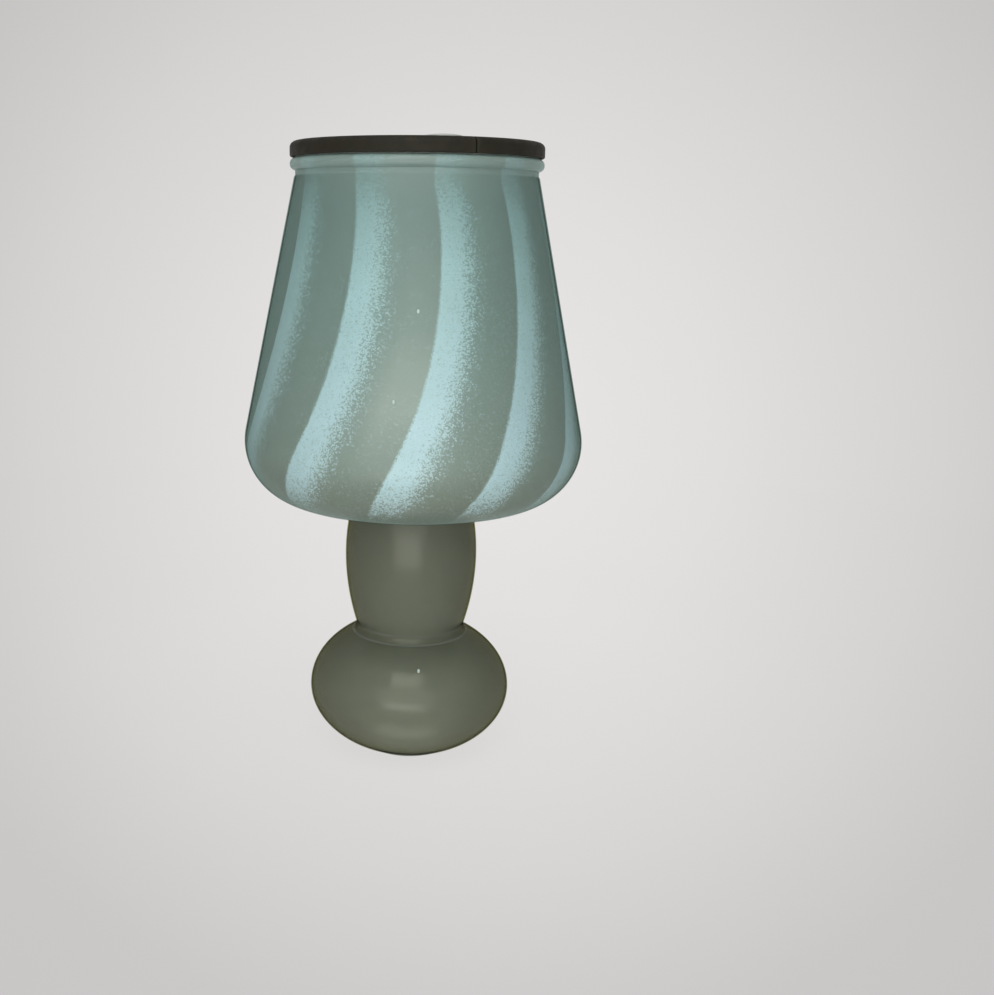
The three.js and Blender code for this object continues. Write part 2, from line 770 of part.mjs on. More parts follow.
// Push button: a low milky dome whose stem reaches down to the switch.
function powerButton() {
  const flangeTop = coverUnderside - seatGap;
  const flangeBottom = flangeTop - buttonFlangeThickness;
  const flangeRadius = buttonRadius + buttonFlange;
  const top = crownAt(buttonCircle) + buttonProud;
  const shoulder = top - buttonProud + buttonShoulder;
  const domeSteps = 4;
  return turned([
    [0, plungerTop],
    [buttonStemRadius, plungerTop],
    [buttonStemRadius, flangeBottom],
    [flangeRadius, flangeBottom],
    [flangeRadius, flangeTop],
    [buttonRadius, flangeTop],
    ...arc([0, shoulder], [buttonRadius, top - shoulder], 0, Math.PI / 2, domeSteps).slice(0, -1),
    [0, top],
  ], smallSides, buttonPlace);
}

addPiece('power_button', powerButton(), frostedGrey);

// Leads from the cell terminals over the bay's front wall to the board.
function lead(row, offset) {
  const x = bayHalfLength - contactThickness / 2 - offset;
  const start = bayTop + seatGap + leadRadius;
  const over = start + leadRise;
  const boardEdge = bayFront - bayWall - cellRadius;
  const landing = boardTop + seatGap + leadRadius;
  const stepsPerPoint = 2;
  return wire([
    [x, cellRows[row], start],
    [x, cellRows[row] - cellRadius / 2, over],
    [x, bayFront, over],
    [x, boardEdge + leadRise, over - leadRise],
    [x, boardEdge, landing + leadRise],
    [x, boardEdge - leadRise, landing],
  ], leadRadius, stepsPerPoint);
}

addPiece('lead_red', lead(0, 0), redSleeve);
addPiece('lead_black', lead(1, 4 * leadRadius), blackSleeve);

export default lamp;
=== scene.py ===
# %% [markdown]
# A mushroom lamp of frosted sea-green glass, dressed around its construction model. The model
# comes first and stays as it is: it says where each piece is and which pieces move together.
# Then every piece is made again, finer, in the same place, and stands for the plain one. Most
# are modelled from nothing; the board, the chip and the switch start from a cleaned copy.

# %% Load the construction model
import json
import math

import bmesh
import bpy
from mathutils import Matrix, Vector

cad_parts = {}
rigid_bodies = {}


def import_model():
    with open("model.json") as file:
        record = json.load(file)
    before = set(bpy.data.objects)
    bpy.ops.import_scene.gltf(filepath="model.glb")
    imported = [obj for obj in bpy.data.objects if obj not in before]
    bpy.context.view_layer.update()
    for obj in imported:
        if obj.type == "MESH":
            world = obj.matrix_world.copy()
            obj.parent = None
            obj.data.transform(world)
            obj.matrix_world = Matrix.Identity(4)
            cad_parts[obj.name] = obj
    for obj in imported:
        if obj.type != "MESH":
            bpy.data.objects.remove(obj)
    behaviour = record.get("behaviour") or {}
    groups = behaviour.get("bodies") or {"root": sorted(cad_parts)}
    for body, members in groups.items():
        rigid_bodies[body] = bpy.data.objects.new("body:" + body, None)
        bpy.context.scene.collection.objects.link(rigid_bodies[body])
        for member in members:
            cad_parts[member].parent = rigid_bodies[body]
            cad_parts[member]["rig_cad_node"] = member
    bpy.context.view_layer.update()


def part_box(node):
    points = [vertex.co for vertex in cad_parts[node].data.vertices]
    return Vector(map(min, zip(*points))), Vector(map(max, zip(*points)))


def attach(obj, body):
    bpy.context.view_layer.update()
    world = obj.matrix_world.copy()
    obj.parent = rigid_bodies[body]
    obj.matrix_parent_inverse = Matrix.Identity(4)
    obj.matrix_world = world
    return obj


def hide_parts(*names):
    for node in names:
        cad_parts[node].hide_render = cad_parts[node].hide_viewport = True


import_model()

mm = 0.001

# %% [markdown]
# The main sizes are read from the model, so that the fine pieces fit it without any fitting.

# %% Sizes that the model gives
belly_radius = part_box("shade_glass")[1].x
shade_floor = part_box("shade_glass")[0].z
rim_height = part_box("shade_glass")[1].z
bulb_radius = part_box("base_glass")[1].x
stem_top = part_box("base_glass")[1].z
pad_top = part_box("foot_pad")[1].z
lid_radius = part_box("lid_band")[1].x
lid_edge_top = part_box("lid_band")[1].z
print("shade", round(2 * belly_radius / mm, 1), "mm across, rim at", round(rim_height / mm, 1), "mm")

# %% [markdown]
# Camera. The photograph looks slightly down on the lamp from a little over half a metre. A
# camera can be turned by hand or aimed by a constraint. Here its three angles are written out,
# because the frame is also rolled a little and an aimed camera stays level. The optical middle
# was found left of the frame's middle, as in a cropped picture, and a shift gives that.

# %% Camera at the photograph's place
camera_distance = 560.2 * mm
camera_height = 243.2 * mm
camera_yaw = math.radians(-1.371)
camera_pitch = math.radians(12.582)
camera_roll = math.radians(0.578)
frame_width, frame_height = 994, 995
focal_pixels = 1250
optical_middle = 382.6

camera_data = bpy.data.cameras.new("camera")
camera_data.sensor_width = 36
camera_data.lens = camera_data.sensor_width * focal_pixels / frame_height
camera_data.shift_x = (frame_width / 2 - optical_middle) / frame_height
camera = bpy.data.objects.new("camera", camera_data)
bpy.context.scene.collection.objects.link(camera)
bpy.context.scene.camera = camera
turn = Matrix.Rotation(-camera_yaw, 4, "Z") @ Matrix.Rotation(math.pi / 2 - camera_pitch, 4, "X")
camera_place = Vector((0, -camera_distance, camera_height))
camera.matrix_world = Matrix.Translation(camera_place) @ turn @ Matrix.Rotation(camera_roll, 4, "Z")
bpy.context.scene.view_settings.view_transform = "Standard"
print("lens", round(camera_data.lens, 2), "mm")

# %% [markdown]
# Small helpers for shader nodes. A material is a tree of nodes; wiring it by hand in the editor
# is pleasant but leaves nothing to read, so each node is made by one call here, and its sockets
# take either a number or another node's output.

# %% Node helpers
def node(tree, kind, sockets=None, **settings):
    made = tree.nodes.new("ShaderNode" + kind)
    for name, value in settings.items():
        setattr(made, name, value)
    for socket, value in (sockets or {}).items():
        if isinstance(value, bpy.types.NodeSocket):
            tree.links.new(value, made.inputs[socket])
        else:
            made.inputs[socket].default_value = value
    return made


def sums(tree, operation, *values):
    return node(tree, "Math", dict(enumerate(values)), operation=operation).outputs[0]


def mixed(tree, share, first, second):
    return node(tree, "Mix", {0: share, 6: first, 7: second}, data_type="RGBA").outputs[2]


def spread(tree, value, start, end, low=0, high=1):
    """Maps start to low and end to high, and holds both outside."""
    return node(tree, "MapRange", {0: value, 1: start, 2: end, 3: low, 4: high}).outputs[0]


def ramp(tree, value, stops):
    """A tone, or a colour, by stops of (place from 0 to 1, tone)."""
    made = node(tree, "ValToRGB", {0: value})
    elements = made.color_ramp.elements
    while len(elements) < len(stops):
        elements.new(0.5)
    for element, (place, tone) in zip(elements, stops):
        element.position = place
        element.color = tone if isinstance(tone, tuple) else (tone, tone, tone, 1)
    return made.outputs[0]


def place_in(tree):
    return node(tree, "TexCoord").outputs["Object"]


def bumped(tree, height, distance):
    return node(tree, "Bump", {"Height": height, "Distance": distance, "Strength": 1}).outputs[0]


def srgb(red, green, blue):
    """A colour as read off a screen, from 0 to 255, in the linear light that shaders use."""
    tones = [tone / 255 for tone in (red, green, blue)]
    return (*[t / 12.92 if t <= 0.04045 else ((t + 0.055) / 1.055) ** 2.4 for t in tones], 1)


def screen_stops(stops):
    return [(place, srgb(*tone)) for place, tone in stops]


def new_material(name, sockets):
    material = bpy.data.materials.new(name)
    material.use_nodes = True
    tree = material.node_tree
    shader = tree.nodes["Principled BSDF"]
    for socket, value in sockets.items():
        shader.inputs[socket].default_value = value
    return material, tree, shader


def feed(tree, shader, **sockets):
    for socket, value in sockets.items():
        tree.links.new(value, shader.inputs[socket.replace("_", " ")])


def effect_group(name, inputs, outputs):
    """An empty node group with named sockets, for an effect that several trees use."""
    group = bpy.data.node_groups.new(name, "ShaderNodeTree")
    for way, sockets in (("INPUT", inputs), ("OUTPUT", outputs)):
        for socket, kind in sockets.items():
            group.interface.new_socket(socket, in_out=way, socket_type="NodeSocket" + kind)
    return group, group.nodes.new("NodeGroupInput"), group.nodes.new("NodeGroupOutput")


def placed(tree, group, sockets):
    return node(tree, "Group", sockets, node_tree=group).outputs


print("node helpers ready")

# %% [markdown]
# Studio. The photograph's ground is a plain pale grey that fades a little towards the corners.
# The fade is a soft pool around a fixed axis, laid on floor and sky alike, so from the
# photograph's side the two meet without a horizon. Camera, glossy and transmitted rays see that
# pale ground, and the part of the floor that is plain paint keeps the lamp's shadow.

# %% Pool of light on the ground
pool_aim_pixels = (475, 430)
pool_stops = [(0, 233), (0.06, 229), (0.12, 225), (0.22, 213), (0.30, 199), (0.45, 193)]


def pool_group():
    group, entry, leave = effect_group("studio_pool", {"Direction": "Vector"}, {"Color": "Color"})
    across = pool_aim_pixels[0] - optical_middle
    down = pool_aim_pixels[1] - frame_height / 2
    axis = camera.matrix_world.to_3x3() @ Vector((across, -down, -focal_pixels)).normalized()
    unit = node(group, "VectorMath", {0: entry.outputs[0]}, operation="NORMALIZE")
    dot = node(group, "VectorMath", {0: unit.outputs[0], 1: axis}, operation="DOT_PRODUCT")
    angle = sums(group, "ARCCOSINE", dot.outputs["Value"])
    share = sums(group, "DIVIDE", angle, math.pi / 2)
    stops = screen_stops((place, (tone, tone - 2, tone - 3)) for place, tone in pool_stops)
    group.links.new(ramp(group, share, stops), leave.inputs[0])
    return group


studio_pool = pool_group()


def pale_ground(tree, direction):
    return placed(tree, studio_pool, {0: direction})[0]


def seen_directly(tree):
    path = node(tree, "LightPath")
    seen = sums(tree, "MAXIMUM", path.outputs["Is Camera Ray"], path.outputs["Is Glossy Ray"])
    return sums(tree, "MAXIMUM", seen, path.outputs["Is Transmission Ray"])


print("pool of", len(pool_stops), "tones")

# %% [markdown]
# World. One sky could be both light and background, but a sky as pale as the photograph's
# ground would wash out the glass. So a dim one gives the light, and the pale one is only seen.

# %% World
sky_level = 0.27

world = bpy.data.worlds.new("studio")
bpy.context.scene.world = world
world.use_nodes = True
sky = world.node_tree
sky.nodes.clear()
sky_light = node(sky, "Background", {0: srgb(228, 231, 235), 1: sky_level})
pale_sky = pale_ground(sky, node(sky, "TexCoord").outputs["Generated"])
sky_seen = node(sky, "Background", {0: pale_sky, 1: 1})
sky_mix = node(sky, "MixShader", {0: seen_directly(sky), 1: sky_light.outputs[0], 2: sky_seen.outputs[0]})
node(sky, "OutputWorld", {0: sky_mix.outputs[0]})
print("sky level", sky_level)

# %% [markdown]
# Floor. A sheet of pale card. Close to the lamp a share of it is plain paint, which takes the
# lamp's soft shadow, and further out only the pale ground is seen. The painted share comes out
# a little darker, so the ground is a little stronger there, around a point behind the lamp.

# %% Floor
floor_radius = 12
paint_tone = 0.86
paint_cloud = 0.02
floor_glow = 0.88
shadow_reach = (0.3, 0.7)
pool_middle = (0, 0.15, 0)
pool_reach = (0.1, 0.55)
pool_gain = 1.07

bpy.ops.object.select_all(action="DESELECT")
bpy.ops.mesh.primitive_circle_add(vertices=96, radius=floor_radius, fill_type="NGON")
floor = bpy.context.object
floor.name = "floor"
floor_paint, tree, shader = new_material("floor_paint", {"Roughness": 0.9, "Specular IOR Level": 0.1})
cloud = node(tree, "TexNoise", {"Scale": 3}).outputs[0]
tone = sums(tree, "MULTIPLY_ADD", cloud, paint_cloud, paint_tone)
feed(tree, shader, Base_Color=node(tree, "CombineColor", {0: tone, 1: tone, 2: tone}).outputs[0])
place = place_in(tree)
from_camera = node(tree, "VectorMath", {0: place, 1: camera_place}, operation="SUBTRACT").outputs[0]
away = node(tree, "VectorMath", {0: place}, operation="LENGTH").outputs["Value"]
from_pool = node(tree, "VectorMath", {0: place, 1: pool_middle}, operation="DISTANCE").outputs["Value"]
gain = spread(tree, from_pool, *pool_reach, pool_gain, 1)
glow = node(tree, "Emission", {0: pale_ground(tree, from_camera), 1: gain})
share = sums(tree, "MULTIPLY", seen_directly(tree), spread(tree, away, *shadow_reach, floor_glow, 1))
both = node(tree, "MixShader", {0: share, 1: shader.outputs[0], 2: glow.outputs[0]})
tree.links.new(both.outputs[0], tree.nodes["Material Output"].inputs[0])
floor.data.materials.append(floor_paint)
print("floor", 2 * floor_radius, "m across")

# %% [markdown]
# Lamps. A wide soft panel stands behind the camera, so that the glass is brightest in its middle
# and falls off to both sides. A second, high soft box gives the dim window-shaped reflection on
# top of the bulb. Its place comes from mirroring the camera's ray there about the glass. A low
# one lies in front like a white card, and lights the belly of the shade and the stem's middle,
# and a small card lights the bulb from below. The back has a weaker panel of its own, which
# gives no reflections, so that none of it shows on the front.

# %% Soft boxes
def soft_box(name, place, aim, size, power):
    data = bpy.data.lights.new(name, "AREA")
    data.shape = "RECTANGLE"
    data.size, data.size_y = size
    data.energy = power
    lamp = bpy.data.objects.new(name, data)
    lamp.location = place
    lamp.rotation_euler = (Vector(aim) - Vector(place)).to_track_quat("-Z", "Y").to_euler()
    lamp.visible_camera = False
    bpy.context.scene.collection.objects.link(lamp)
    return lamp


def lit_share(share, distance):
    """The power that lights a facing surface with this share of plain full light."""
    return share * math.pi ** 2 * distance ** 2


bulb_aim = (0, 0, 50 * mm)
shade_aim = (0, 0, 150 * mm)
window_distance = 1.25
window_height = math.radians(58)
window_place = (-0.05, -window_distance * math.cos(window_height), window_distance * math.sin(window_height))
window_size = (0.66, 0.66)
panel_distance = 1.8
panel_place = (-0.1, -panel_distance, 0.7)
panel_size = (2.4, 1.3)
back_distance = 1.9
back_place = (0.25, back_distance, 0.5)
back_size = (1.8, 0.8)
card_place = (-0.04, -0.36, 0.004)
card_aim = (-0.04, -0.2, 0.2)
card_size = (0.34, 0.36)
foot_card_place = (-0.003, -0.058, 0.0015)
foot_card_aim = (-0.003, -0.058, 1)
foot_card_size = (0.05, 0.022)
soft_box("window_box", window_place, bulb_aim, window_size, lit_share(0.3, window_distance))
soft_box("front_panel", panel_place, shade_aim, panel_size, lit_share(0.47, panel_distance))
back = soft_box("back_panel", back_place, shade_aim, back_size, lit_share(0.22, back_distance))
back.visible_glossy = False
soft_box("white_card", card_place, card_aim, card_size, 1.1)
soft_box("foot_card", foot_card_place, foot_card_aim, foot_card_size, 0.0045)
print("window at", [round(v, 2) for v in window_place], "panel at", panel_place)

# %% [markdown]
# Outline tools. Round glass is drawn as half a section and turned, like a blown piece on its
# iron. The outline is drawn point by point: a small plane is merged to one vertex, which is
# extruded along the outline and then spun about the lamp's axis.

# %% Outline and turning
glass_sides = 192
weld = 0.002 * mm


def arc(centre, reach, start, end, steps):
    """Points of an elliptical arc; angles in radians from straight out, upwards."""
    angles = [start + (end - start) * i / steps for i in range(steps + 1)]
    return [(centre[0] + reach[0] * math.cos(a), centre[1] + reach[1] * math.sin(a)) for a in angles]


def foot_round(radius, height, edge, steps=5):
    """The rounded lower corner of an outline's upright side."""
    return arc((radius - edge, height + edge), (edge, edge), -math.pi / 2, 0, steps)


def top_round(radius, height, edge, steps=5):
    """The rounded upper corner of an outline's upright side."""
    return arc((radius - edge, height - edge), (edge, edge), 0, math.pi / 2, steps)


def only(piece):
    """Selects one object alone and makes it the active one."""
    bpy.ops.object.select_all(action="DESELECT")
    piece.select_set(True)
    bpy.context.view_layer.objects.active = piece


def close_up():
    bpy.ops.mesh.select_all(action="SELECT")
    bpy.ops.mesh.remove_doubles(threshold=weld)
    bpy.ops.mesh.normals_make_consistent(inside=False)


def settled(name=None):
    """The active object with its place put into its mesh."""
    piece = bpy.context.object
    piece.data.transform(piece.matrix_world)
    piece.matrix_world = Matrix.Identity(4)
    if name:
        piece.name = name
        piece.data.name = name
    return piece


def turned(name, outline, sides=glass_sides, place=(0, 0), closed=False, sweep=math.tau, start=0):
    """Spins an outline of (radius, height) points about an upright axis."""
    points = outline + outline[:1] if closed else outline
    out = Vector((math.cos(start), math.sin(start), 0))
    spots = [Vector((*place, height)) + out * radius for radius, height in points]
    bpy.ops.object.select_all(action="DESELECT")
    bpy.ops.mesh.primitive_plane_add(size=mm, location=spots[0])
    bpy.ops.object.mode_set(mode="EDIT")
    bpy.ops.mesh.select_mode(type="VERT")
    bpy.ops.mesh.select_all(action="SELECT")
    bpy.ops.mesh.merge(type="CENTER")
    for here, there in zip(spots, spots[1:]):
        bpy.ops.mesh.extrude_vertices_move(TRANSFORM_OT_translate={"value": there - here})
    bpy.ops.mesh.select_all(action="SELECT")
    bpy.ops.mesh.spin(steps=sides, angle=sweep, center=(*place, 0), axis=(0, 0, 1))
    close_up()
    bpy.ops.object.mode_set(mode="OBJECT")
    return settled(name)


print("turned glass has", glass_sides, "sides")

# %% [markdown]
# Shaping and finishing tools. Edges are picked in code by their place, as one would click them.
# A finished piece gets its shading, its finish, the body it moves with, and the nodes it
# stands for, all in one call, so that none is forgotten.

# %% Picking, modifiers and dressing
def pick(kind, test):
    """Selects, in edit mode, what passes a test of the place of each of its corners."""
    bpy.ops.mesh.select_mode(type=kind)
    bpy.ops.mesh.select_all(action="DESELECT")
    mesh = bmesh.from_edit_mesh(bpy.context.object.data)
    for item in {"EDGE": mesh.edges, "FACE": mesh.faces}[kind]:
        if all(test(corner.co) for corner in item.verts):
            item.select_set(True)
    bmesh.update_edit_mesh(bpy.context.object.data)


def modified(piece, kind, **settings):
    modifier = piece.modifiers.new(kind.lower(), kind)
    for name, value in settings.items():
        setattr(modifier, name, value)
    bpy.context.view_layer.objects.active = piece
    bpy.ops.object.modifier_apply(modifier=modifier.name)


def smooth(piece, angle):
    only(piece)
    bpy.ops.object.shade_smooth_by_angle(angle=math.radians(angle))


def dressed(piece, body, slot, material, *stands_for):
    """Gives a piece its body, its material and the plain nodes that it stands for."""
    piece.data.materials.clear()
    piece.data.materials.append(material)
    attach(piece, body)
    if stands_for:
        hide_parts(*stands_for)
    print(piece.name, len(piece.data.polygons), "faces")


def finished(piece, angle, body, slot, material, *stands_for):
    """Smooths a piece, but for edges sharper than an angle in degrees, and dresses it."""
    smooth(piece, angle)
    dressed(piece, body, slot, material, *stands_for)


print("shaping tools ready")

# %% [markdown]
# Fine grain. Satin glass and moulded plastic both have a tiny relief and broad, faint clouds.
# A photo of a surface could give them, but noise in the piece's own coordinates has no seams
# and stays put when the piece moves. It turns up on many finishes, so it is a node group.

# %% Fine grain
clouds_over_grain = 14


def grain_group():
    group, entry, leave = effect_group("fine_grain", {"Size": "Float", "Softness": "Float"},
                                       {"Grain": "Float", "Cloud": "Float"})
    place = place_in(group)
    scale = sums(group, "DIVIDE", 1, entry.outputs["Size"])
    fine = node(group, "TexNoise", {"Vector": place, "Scale": scale, "Detail": 3})
    wide = sums(group, "DIVIDE", scale, clouds_over_grain)
    cloud = node(group, "TexNoise", {"Vector": place, "Scale": wide, "Detail": 4})
    half = sums(group, "MULTIPLY", entry.outputs["Softness"], 0.5)
    low = sums(group, "SUBTRACT", 0.5, half)
    high = sums(group, "ADD", 0.5, half)
    for socket, noise in (("Grain", fine), ("Cloud", cloud)):
        group.links.new(spread(group, noise.outputs[0], low, high), leave.inputs[socket])
    return group


fine_grain = grain_group()


def grain(tree, size, softness=0.4):
    made = placed(tree, fine_grain, {"Size": size, "Softness": softness})
    return made["Grain"], made["Cloud"]


print("grain group", fine_grain.name)

# %% [markdown]
# Rubbed edges. Hands and cloths polish the corners of moulded parts first. Pointiness finds
# corners on any shape, and a noise breaks the polish up, so that it doesn't look outlined.

# %% Rubbed edges
def rub_group():
    group, entry, leave = effect_group("rubbed_edges", {"Amount": "Float"}, {"Rub": "Float"})
    edge = spread(group, node(group, "NewGeometry").outputs["Pointiness"], 0.505, 0.56)
    patchy = node(group, "TexNoise", {"Vector": place_in(group), "Scale": 300}).outputs[0]
    broken = sums(group, "MULTIPLY", edge, patchy)
    group.links.new(sums(group, "MULTIPLY", broken, entry.outputs["Amount"]), leave.inputs[0])
    return group


rubbed_edges = rub_group()


def rubbed(tree, amount):
    return placed(tree, rubbed_edges, {"Amount": amount})[0]


print("edge group", rubbed_edges.name)

# %% [markdown]
# Settled dust. Dust lies on what faces up, in specks. It could be painted by hand, but the
# surface's own direction gives it to every piece alike.

# %% Settled dust
def dust_group():
    group, entry, leave = effect_group("settled_dust", {"Amount": "Float"}, {"Dust": "Float"})
    coordinates = node(group, "TexCoord")
    up = node(group, "SeparateXYZ", {0: coordinates.outputs["Normal"]}).outputs["Z"]
    level = spread(group, up, 0.2, 1)
    specks = node(group, "TexNoise", {"Vector": coordinates.outputs["Object"], "Scale": 900, "Detail": 2})
    fallen = sums(group, "MULTIPLY", level, spread(group, specks.outputs[0], 0.45, 0.75))
    group.links.new(sums(group, "MULTIPLY", fallen, entry.outputs["Amount"]), leave.inputs[0])
    return group


settled_dust = dust_group()


def dusty(tree, amount):
    return placed(tree, settled_dust, {"Amount": amount})[0]


print("effects", [group.name for group in bpy.data.node_groups])

# %% [markdown]
# Casing. The real glass has a clear outer layer over its coloured one. Head on it hardly
# shows, but at the outline one looks along it, through twenty times as much glass, and it turns
# dark. A painted edge would slide when the lamp turns, so the layer is modelled, and what
# darkens it is real absorption inside.

# %% Clear casing finish
def casing_glass(name, tint, density):
    sockets = {"Base Color": (0.9, 0.95, 0.92, 1), "Roughness": 0.3, "Alpha": 0.05}
    material, tree, shader = new_material(name, sockets)
    drops = grain(tree, 0.8 * mm)[0]
    feed(tree, shader, Normal=bumped(tree, drops, 0.01 * mm))
    dark = node(tree, "VolumeAbsorption", {"Color": tint, "Density": density})
    tree.links.new(dark.outputs[0], tree.nodes["Material Output"].inputs["Volume"])
    return material


shade_casing_glass = casing_glass("shade_casing_glass", (0.26, 0.4, 0.35, 1), 235)
base_casing_glass = casing_glass("base_casing_glass", (0.5, 0.5, 0.25, 1), 420)
print("casing finishes ready")

# %% [markdown]
# Swirl. Pale powder was rolled onto the hot green glass in eleven stripes, and the piece was
# twisted while it was blown: the stripes hang straight under the neck and swing round towards
# the foot. They are worked out from the angle round the axis and the height, so that they go
# all the way round without a seam. No two lie quite evenly, so each has its own small shift.

# %% Swirl values
stripe_count = 11
stripe_edge = math.radians(9.35)
straight_height = 233 * mm
swirl_below = math.radians(2.2e-3) / mm ** 2
swirl_above = math.radians(4.0e-3) / mm ** 2
neck_straightens = 24 * mm
stripe_shifts = (0.2, 0.3, -0.7, -2.0, 1.0, 2.0, -1.0, -2.5, -1.0, -4.3, -2.1)


def swirl(tree):
    """The share of the way from one stripe's crisp edge to the next, round the lamp, and the height."""
    x, y, z = node(tree, "SeparateXYZ", {0: place_in(tree)}).outputs
    round_axis = sums(tree, "ARCTAN2", x, sums(tree, "MULTIPLY", y, -1))
    above = sums(tree, "MINIMUM", sums(tree, "SUBTRACT", z, straight_height), neck_straightens)
    angle = round_axis
    for side, turn_rate in (("MINIMUM", swirl_below), ("MAXIMUM", swirl_above)):
        squared = sums(tree, "POWER", sums(tree, side, above, 0), 2)
        angle = sums(tree, "ADD", angle, sums(tree, "MULTIPLY", squared, turn_rate))
    share = sums(tree, "DIVIDE", sums(tree, "SUBTRACT", angle, stripe_edge), math.tau)
    turns = sums(tree, "FRACT", sums(tree, "ADD", share, 1))
    pitch = 360 / stripe_count
    shifts = stripe_shifts + stripe_shifts[:1]
    stops = [(i / stripe_count, 0.5 + shift / pitch) for i, shift in enumerate(shifts)]
    shift = sums(tree, "SUBTRACT", ramp(tree, turns, stops), 0.5)
    phase = sums(tree, "SUBTRACT", sums(tree, "MULTIPLY", turns, stripe_count), shift)
    return sums(tree, "FRACT", sums(tree, "ADD", phase, 1)), turns, z


print("stripes", stripe_count)

# %% [markdown]
# Striped glass. Each stripe has a crisp left edge and breaks up into grains on its right and at
# its foot. A soft edge could be blurred, but powder is made of grains that are there or not: a
# grain of a cell pattern shows where its own chance number is below the stripe's cover there.
# The green under it runs from olive at the foot to sea-green.
# A paler patch in front, between two stripes, is a painted highlight: a glow of light on the glass.

# %% Striped glass finish
powder_grain = 0.5 * mm
powder_share = 0.6
cover_round = [(0, 0.0), (0.035, 0.97), (0.25, 0.92), (0.34, 0.62), (0.46, 0.16), (0.6, 0.0)]
cover_up = [(0, 0), (0.03, 0.08), (0.06, 0.42), (0.1, 0.8), (0.15, 1), (0.84, 1), (0.94, 0.62)]
ground_tones = [(0.0, (72, 77, 46)), (0.05, (82, 89, 61)), (0.1, (104, 115, 93)), (0.21, (122, 140, 126)),
                (0.38, (120, 143, 131)), (0.54, (111, 139, 128)), (0.87, (100, 130, 121)),
                (0.95, (111, 138, 129)), (0.99, (103, 127, 117))]
pale_tones = [(0.1, (190, 219, 224)), (0.3, (199, 229, 236)), (0.55, (182, 217, 221)),
              (0.7, (169, 207, 209)), (0.87, (142, 181, 182)), (0.97, (121, 155, 152))]
shaded_round = [(0.3, 1.0), (0.97, 0.86), (1, 0.86)]
# The paler patch in front, between two stripes and low to halfway up the shade, is a painted highlight.
painted_glow_round = [(0, 1), (0.03, 0), (10.35 / stripe_count, 0), (10.7 / stripe_count, 1), (1, 1)]
painted_glow_up = [(0.12, 0), (0.21, 0.25), (0.34, 1), (0.44, 0.8), (0.55, 0.35), (0.8, 0)]
painted_glow_tone = srgb(151, 165, 153)
cloud_tone = srgb(112, 142, 134)


def striped_glass_finish():
    sockets = {"Roughness": 0.42, "Specular IOR Level": 0.35, "Coat Weight": 0.25, "Coat Roughness": 0.22,
               "Sheen Weight": 0.4, "Sheen Roughness": 0.45, "Sheen Tint": (0.7, 1, 0.95, 1)}
    material, tree, shader = new_material("striped_glass_finish", sockets)
    phase, turns, height = swirl(tree)
    level = spread(tree, height, shade_floor, rim_height)
    cover = sums(tree, "MULTIPLY", ramp(tree, phase, cover_round), ramp(tree, level, cover_up))
    cells = node(tree, "TexVoronoi", {"Vector": place_in(tree), "Scale": 1 / powder_grain})
    chance = node(tree, "SeparateColor", {0: cells.outputs["Color"]}).outputs[0]
    powder = spread(tree, sums(tree, "SUBTRACT", cover, chance), -0.1, 0.1)
    powder = sums(tree, "MULTIPLY_ADD", powder, powder_share, sums(tree, "MULTIPLY", cover, 1 - powder_share))
    ground = mixed(tree, 1, ramp(tree, level, screen_stops(ground_tones)), ramp(tree, phase, shaded_round))
    ground.node.blend_type = "MULTIPLY"
    # Painted highlight: the paler patch in front is mixed into the green here.
    painted_glow = sums(tree, "MULTIPLY", ramp(tree, turns, painted_glow_round), ramp(tree, level, painted_glow_up))
    ground = mixed(tree, painted_glow, ground, painted_glow_tone)
    colour = mixed(tree, powder, ground, ramp(tree, level, screen_stops(pale_tones)))
    cloud = grain(tree, 1.5 * mm)[1]
    colour = mixed(tree, sums(tree, "MULTIPLY", cloud, 0.1), colour, cloud_tone)
    feed(tree, shader, Base_Color=colour, Normal=bumped(tree, powder, 0.03 * mm))
    return material


striped_glass = striped_glass_finish()
print("powder grains of", powder_grain / mm, "mm")

# %% [markdown]
# Shade. A blown jar: flat floor, rounded belly, straight cone, and under the lid a neck with two
# fine thread lines and a rolled bead. It could be one thick wall, but the clear casing has to
# be its own body, so the same outline is drawn at several depths under the surface.

# %% Outline of the shade at a depth
belly_rounding = 27.7 * mm
shade_wall = 3.4 * mm
casing_wall = 0.8 * mm
casing_shares = (0.15, 1.15)
neck_casing_share = 0.2
layer_gap = 0.04 * mm
bead_height = 5.2 * mm
bead_step = 1.8 * mm
neck_height = 8 * mm
neck_step = 0.6 * mm
neck_start = 0.9 * mm
thread_heights = (1.45 * mm, 2.35 * mm)
thread_half = 0.3 * mm
thread_proud = 0.14 * mm
clamp_hole = 3.3 * mm
neck_bore = 49.2 * mm


def shade_line(depth, floor_share=1, top_share=1):
    """Floor, belly and cone, down to a depth that may differ at the floor and at the top."""
    centre = (belly_radius - belly_rounding, shade_floor + belly_rounding)
    cone_top = (lid_radius - bead_step, rim_height - neck_height)
    rise = (cone_top[0] - centre[0], cone_top[1] - centre[1])
    lean = math.atan2(rise[1], rise[0]) - math.acos(belly_rounding / math.hypot(*rise))
    line = [(clamp_hole, shade_floor + depth * floor_share)]
    steps = 28
    for i in range(steps + 1):
        angle = -math.pi / 2 + (lean + math.pi / 2) * i / steps
        reach = belly_rounding - depth * (floor_share + (1 - floor_share) * i / steps)
        line.append((centre[0] + reach * math.cos(angle), centre[1] + reach * math.sin(angle)))
    depth *= top_share
    return line + [(cone_top[0] - depth * math.cos(lean), cone_top[1] - depth * math.sin(lean))]


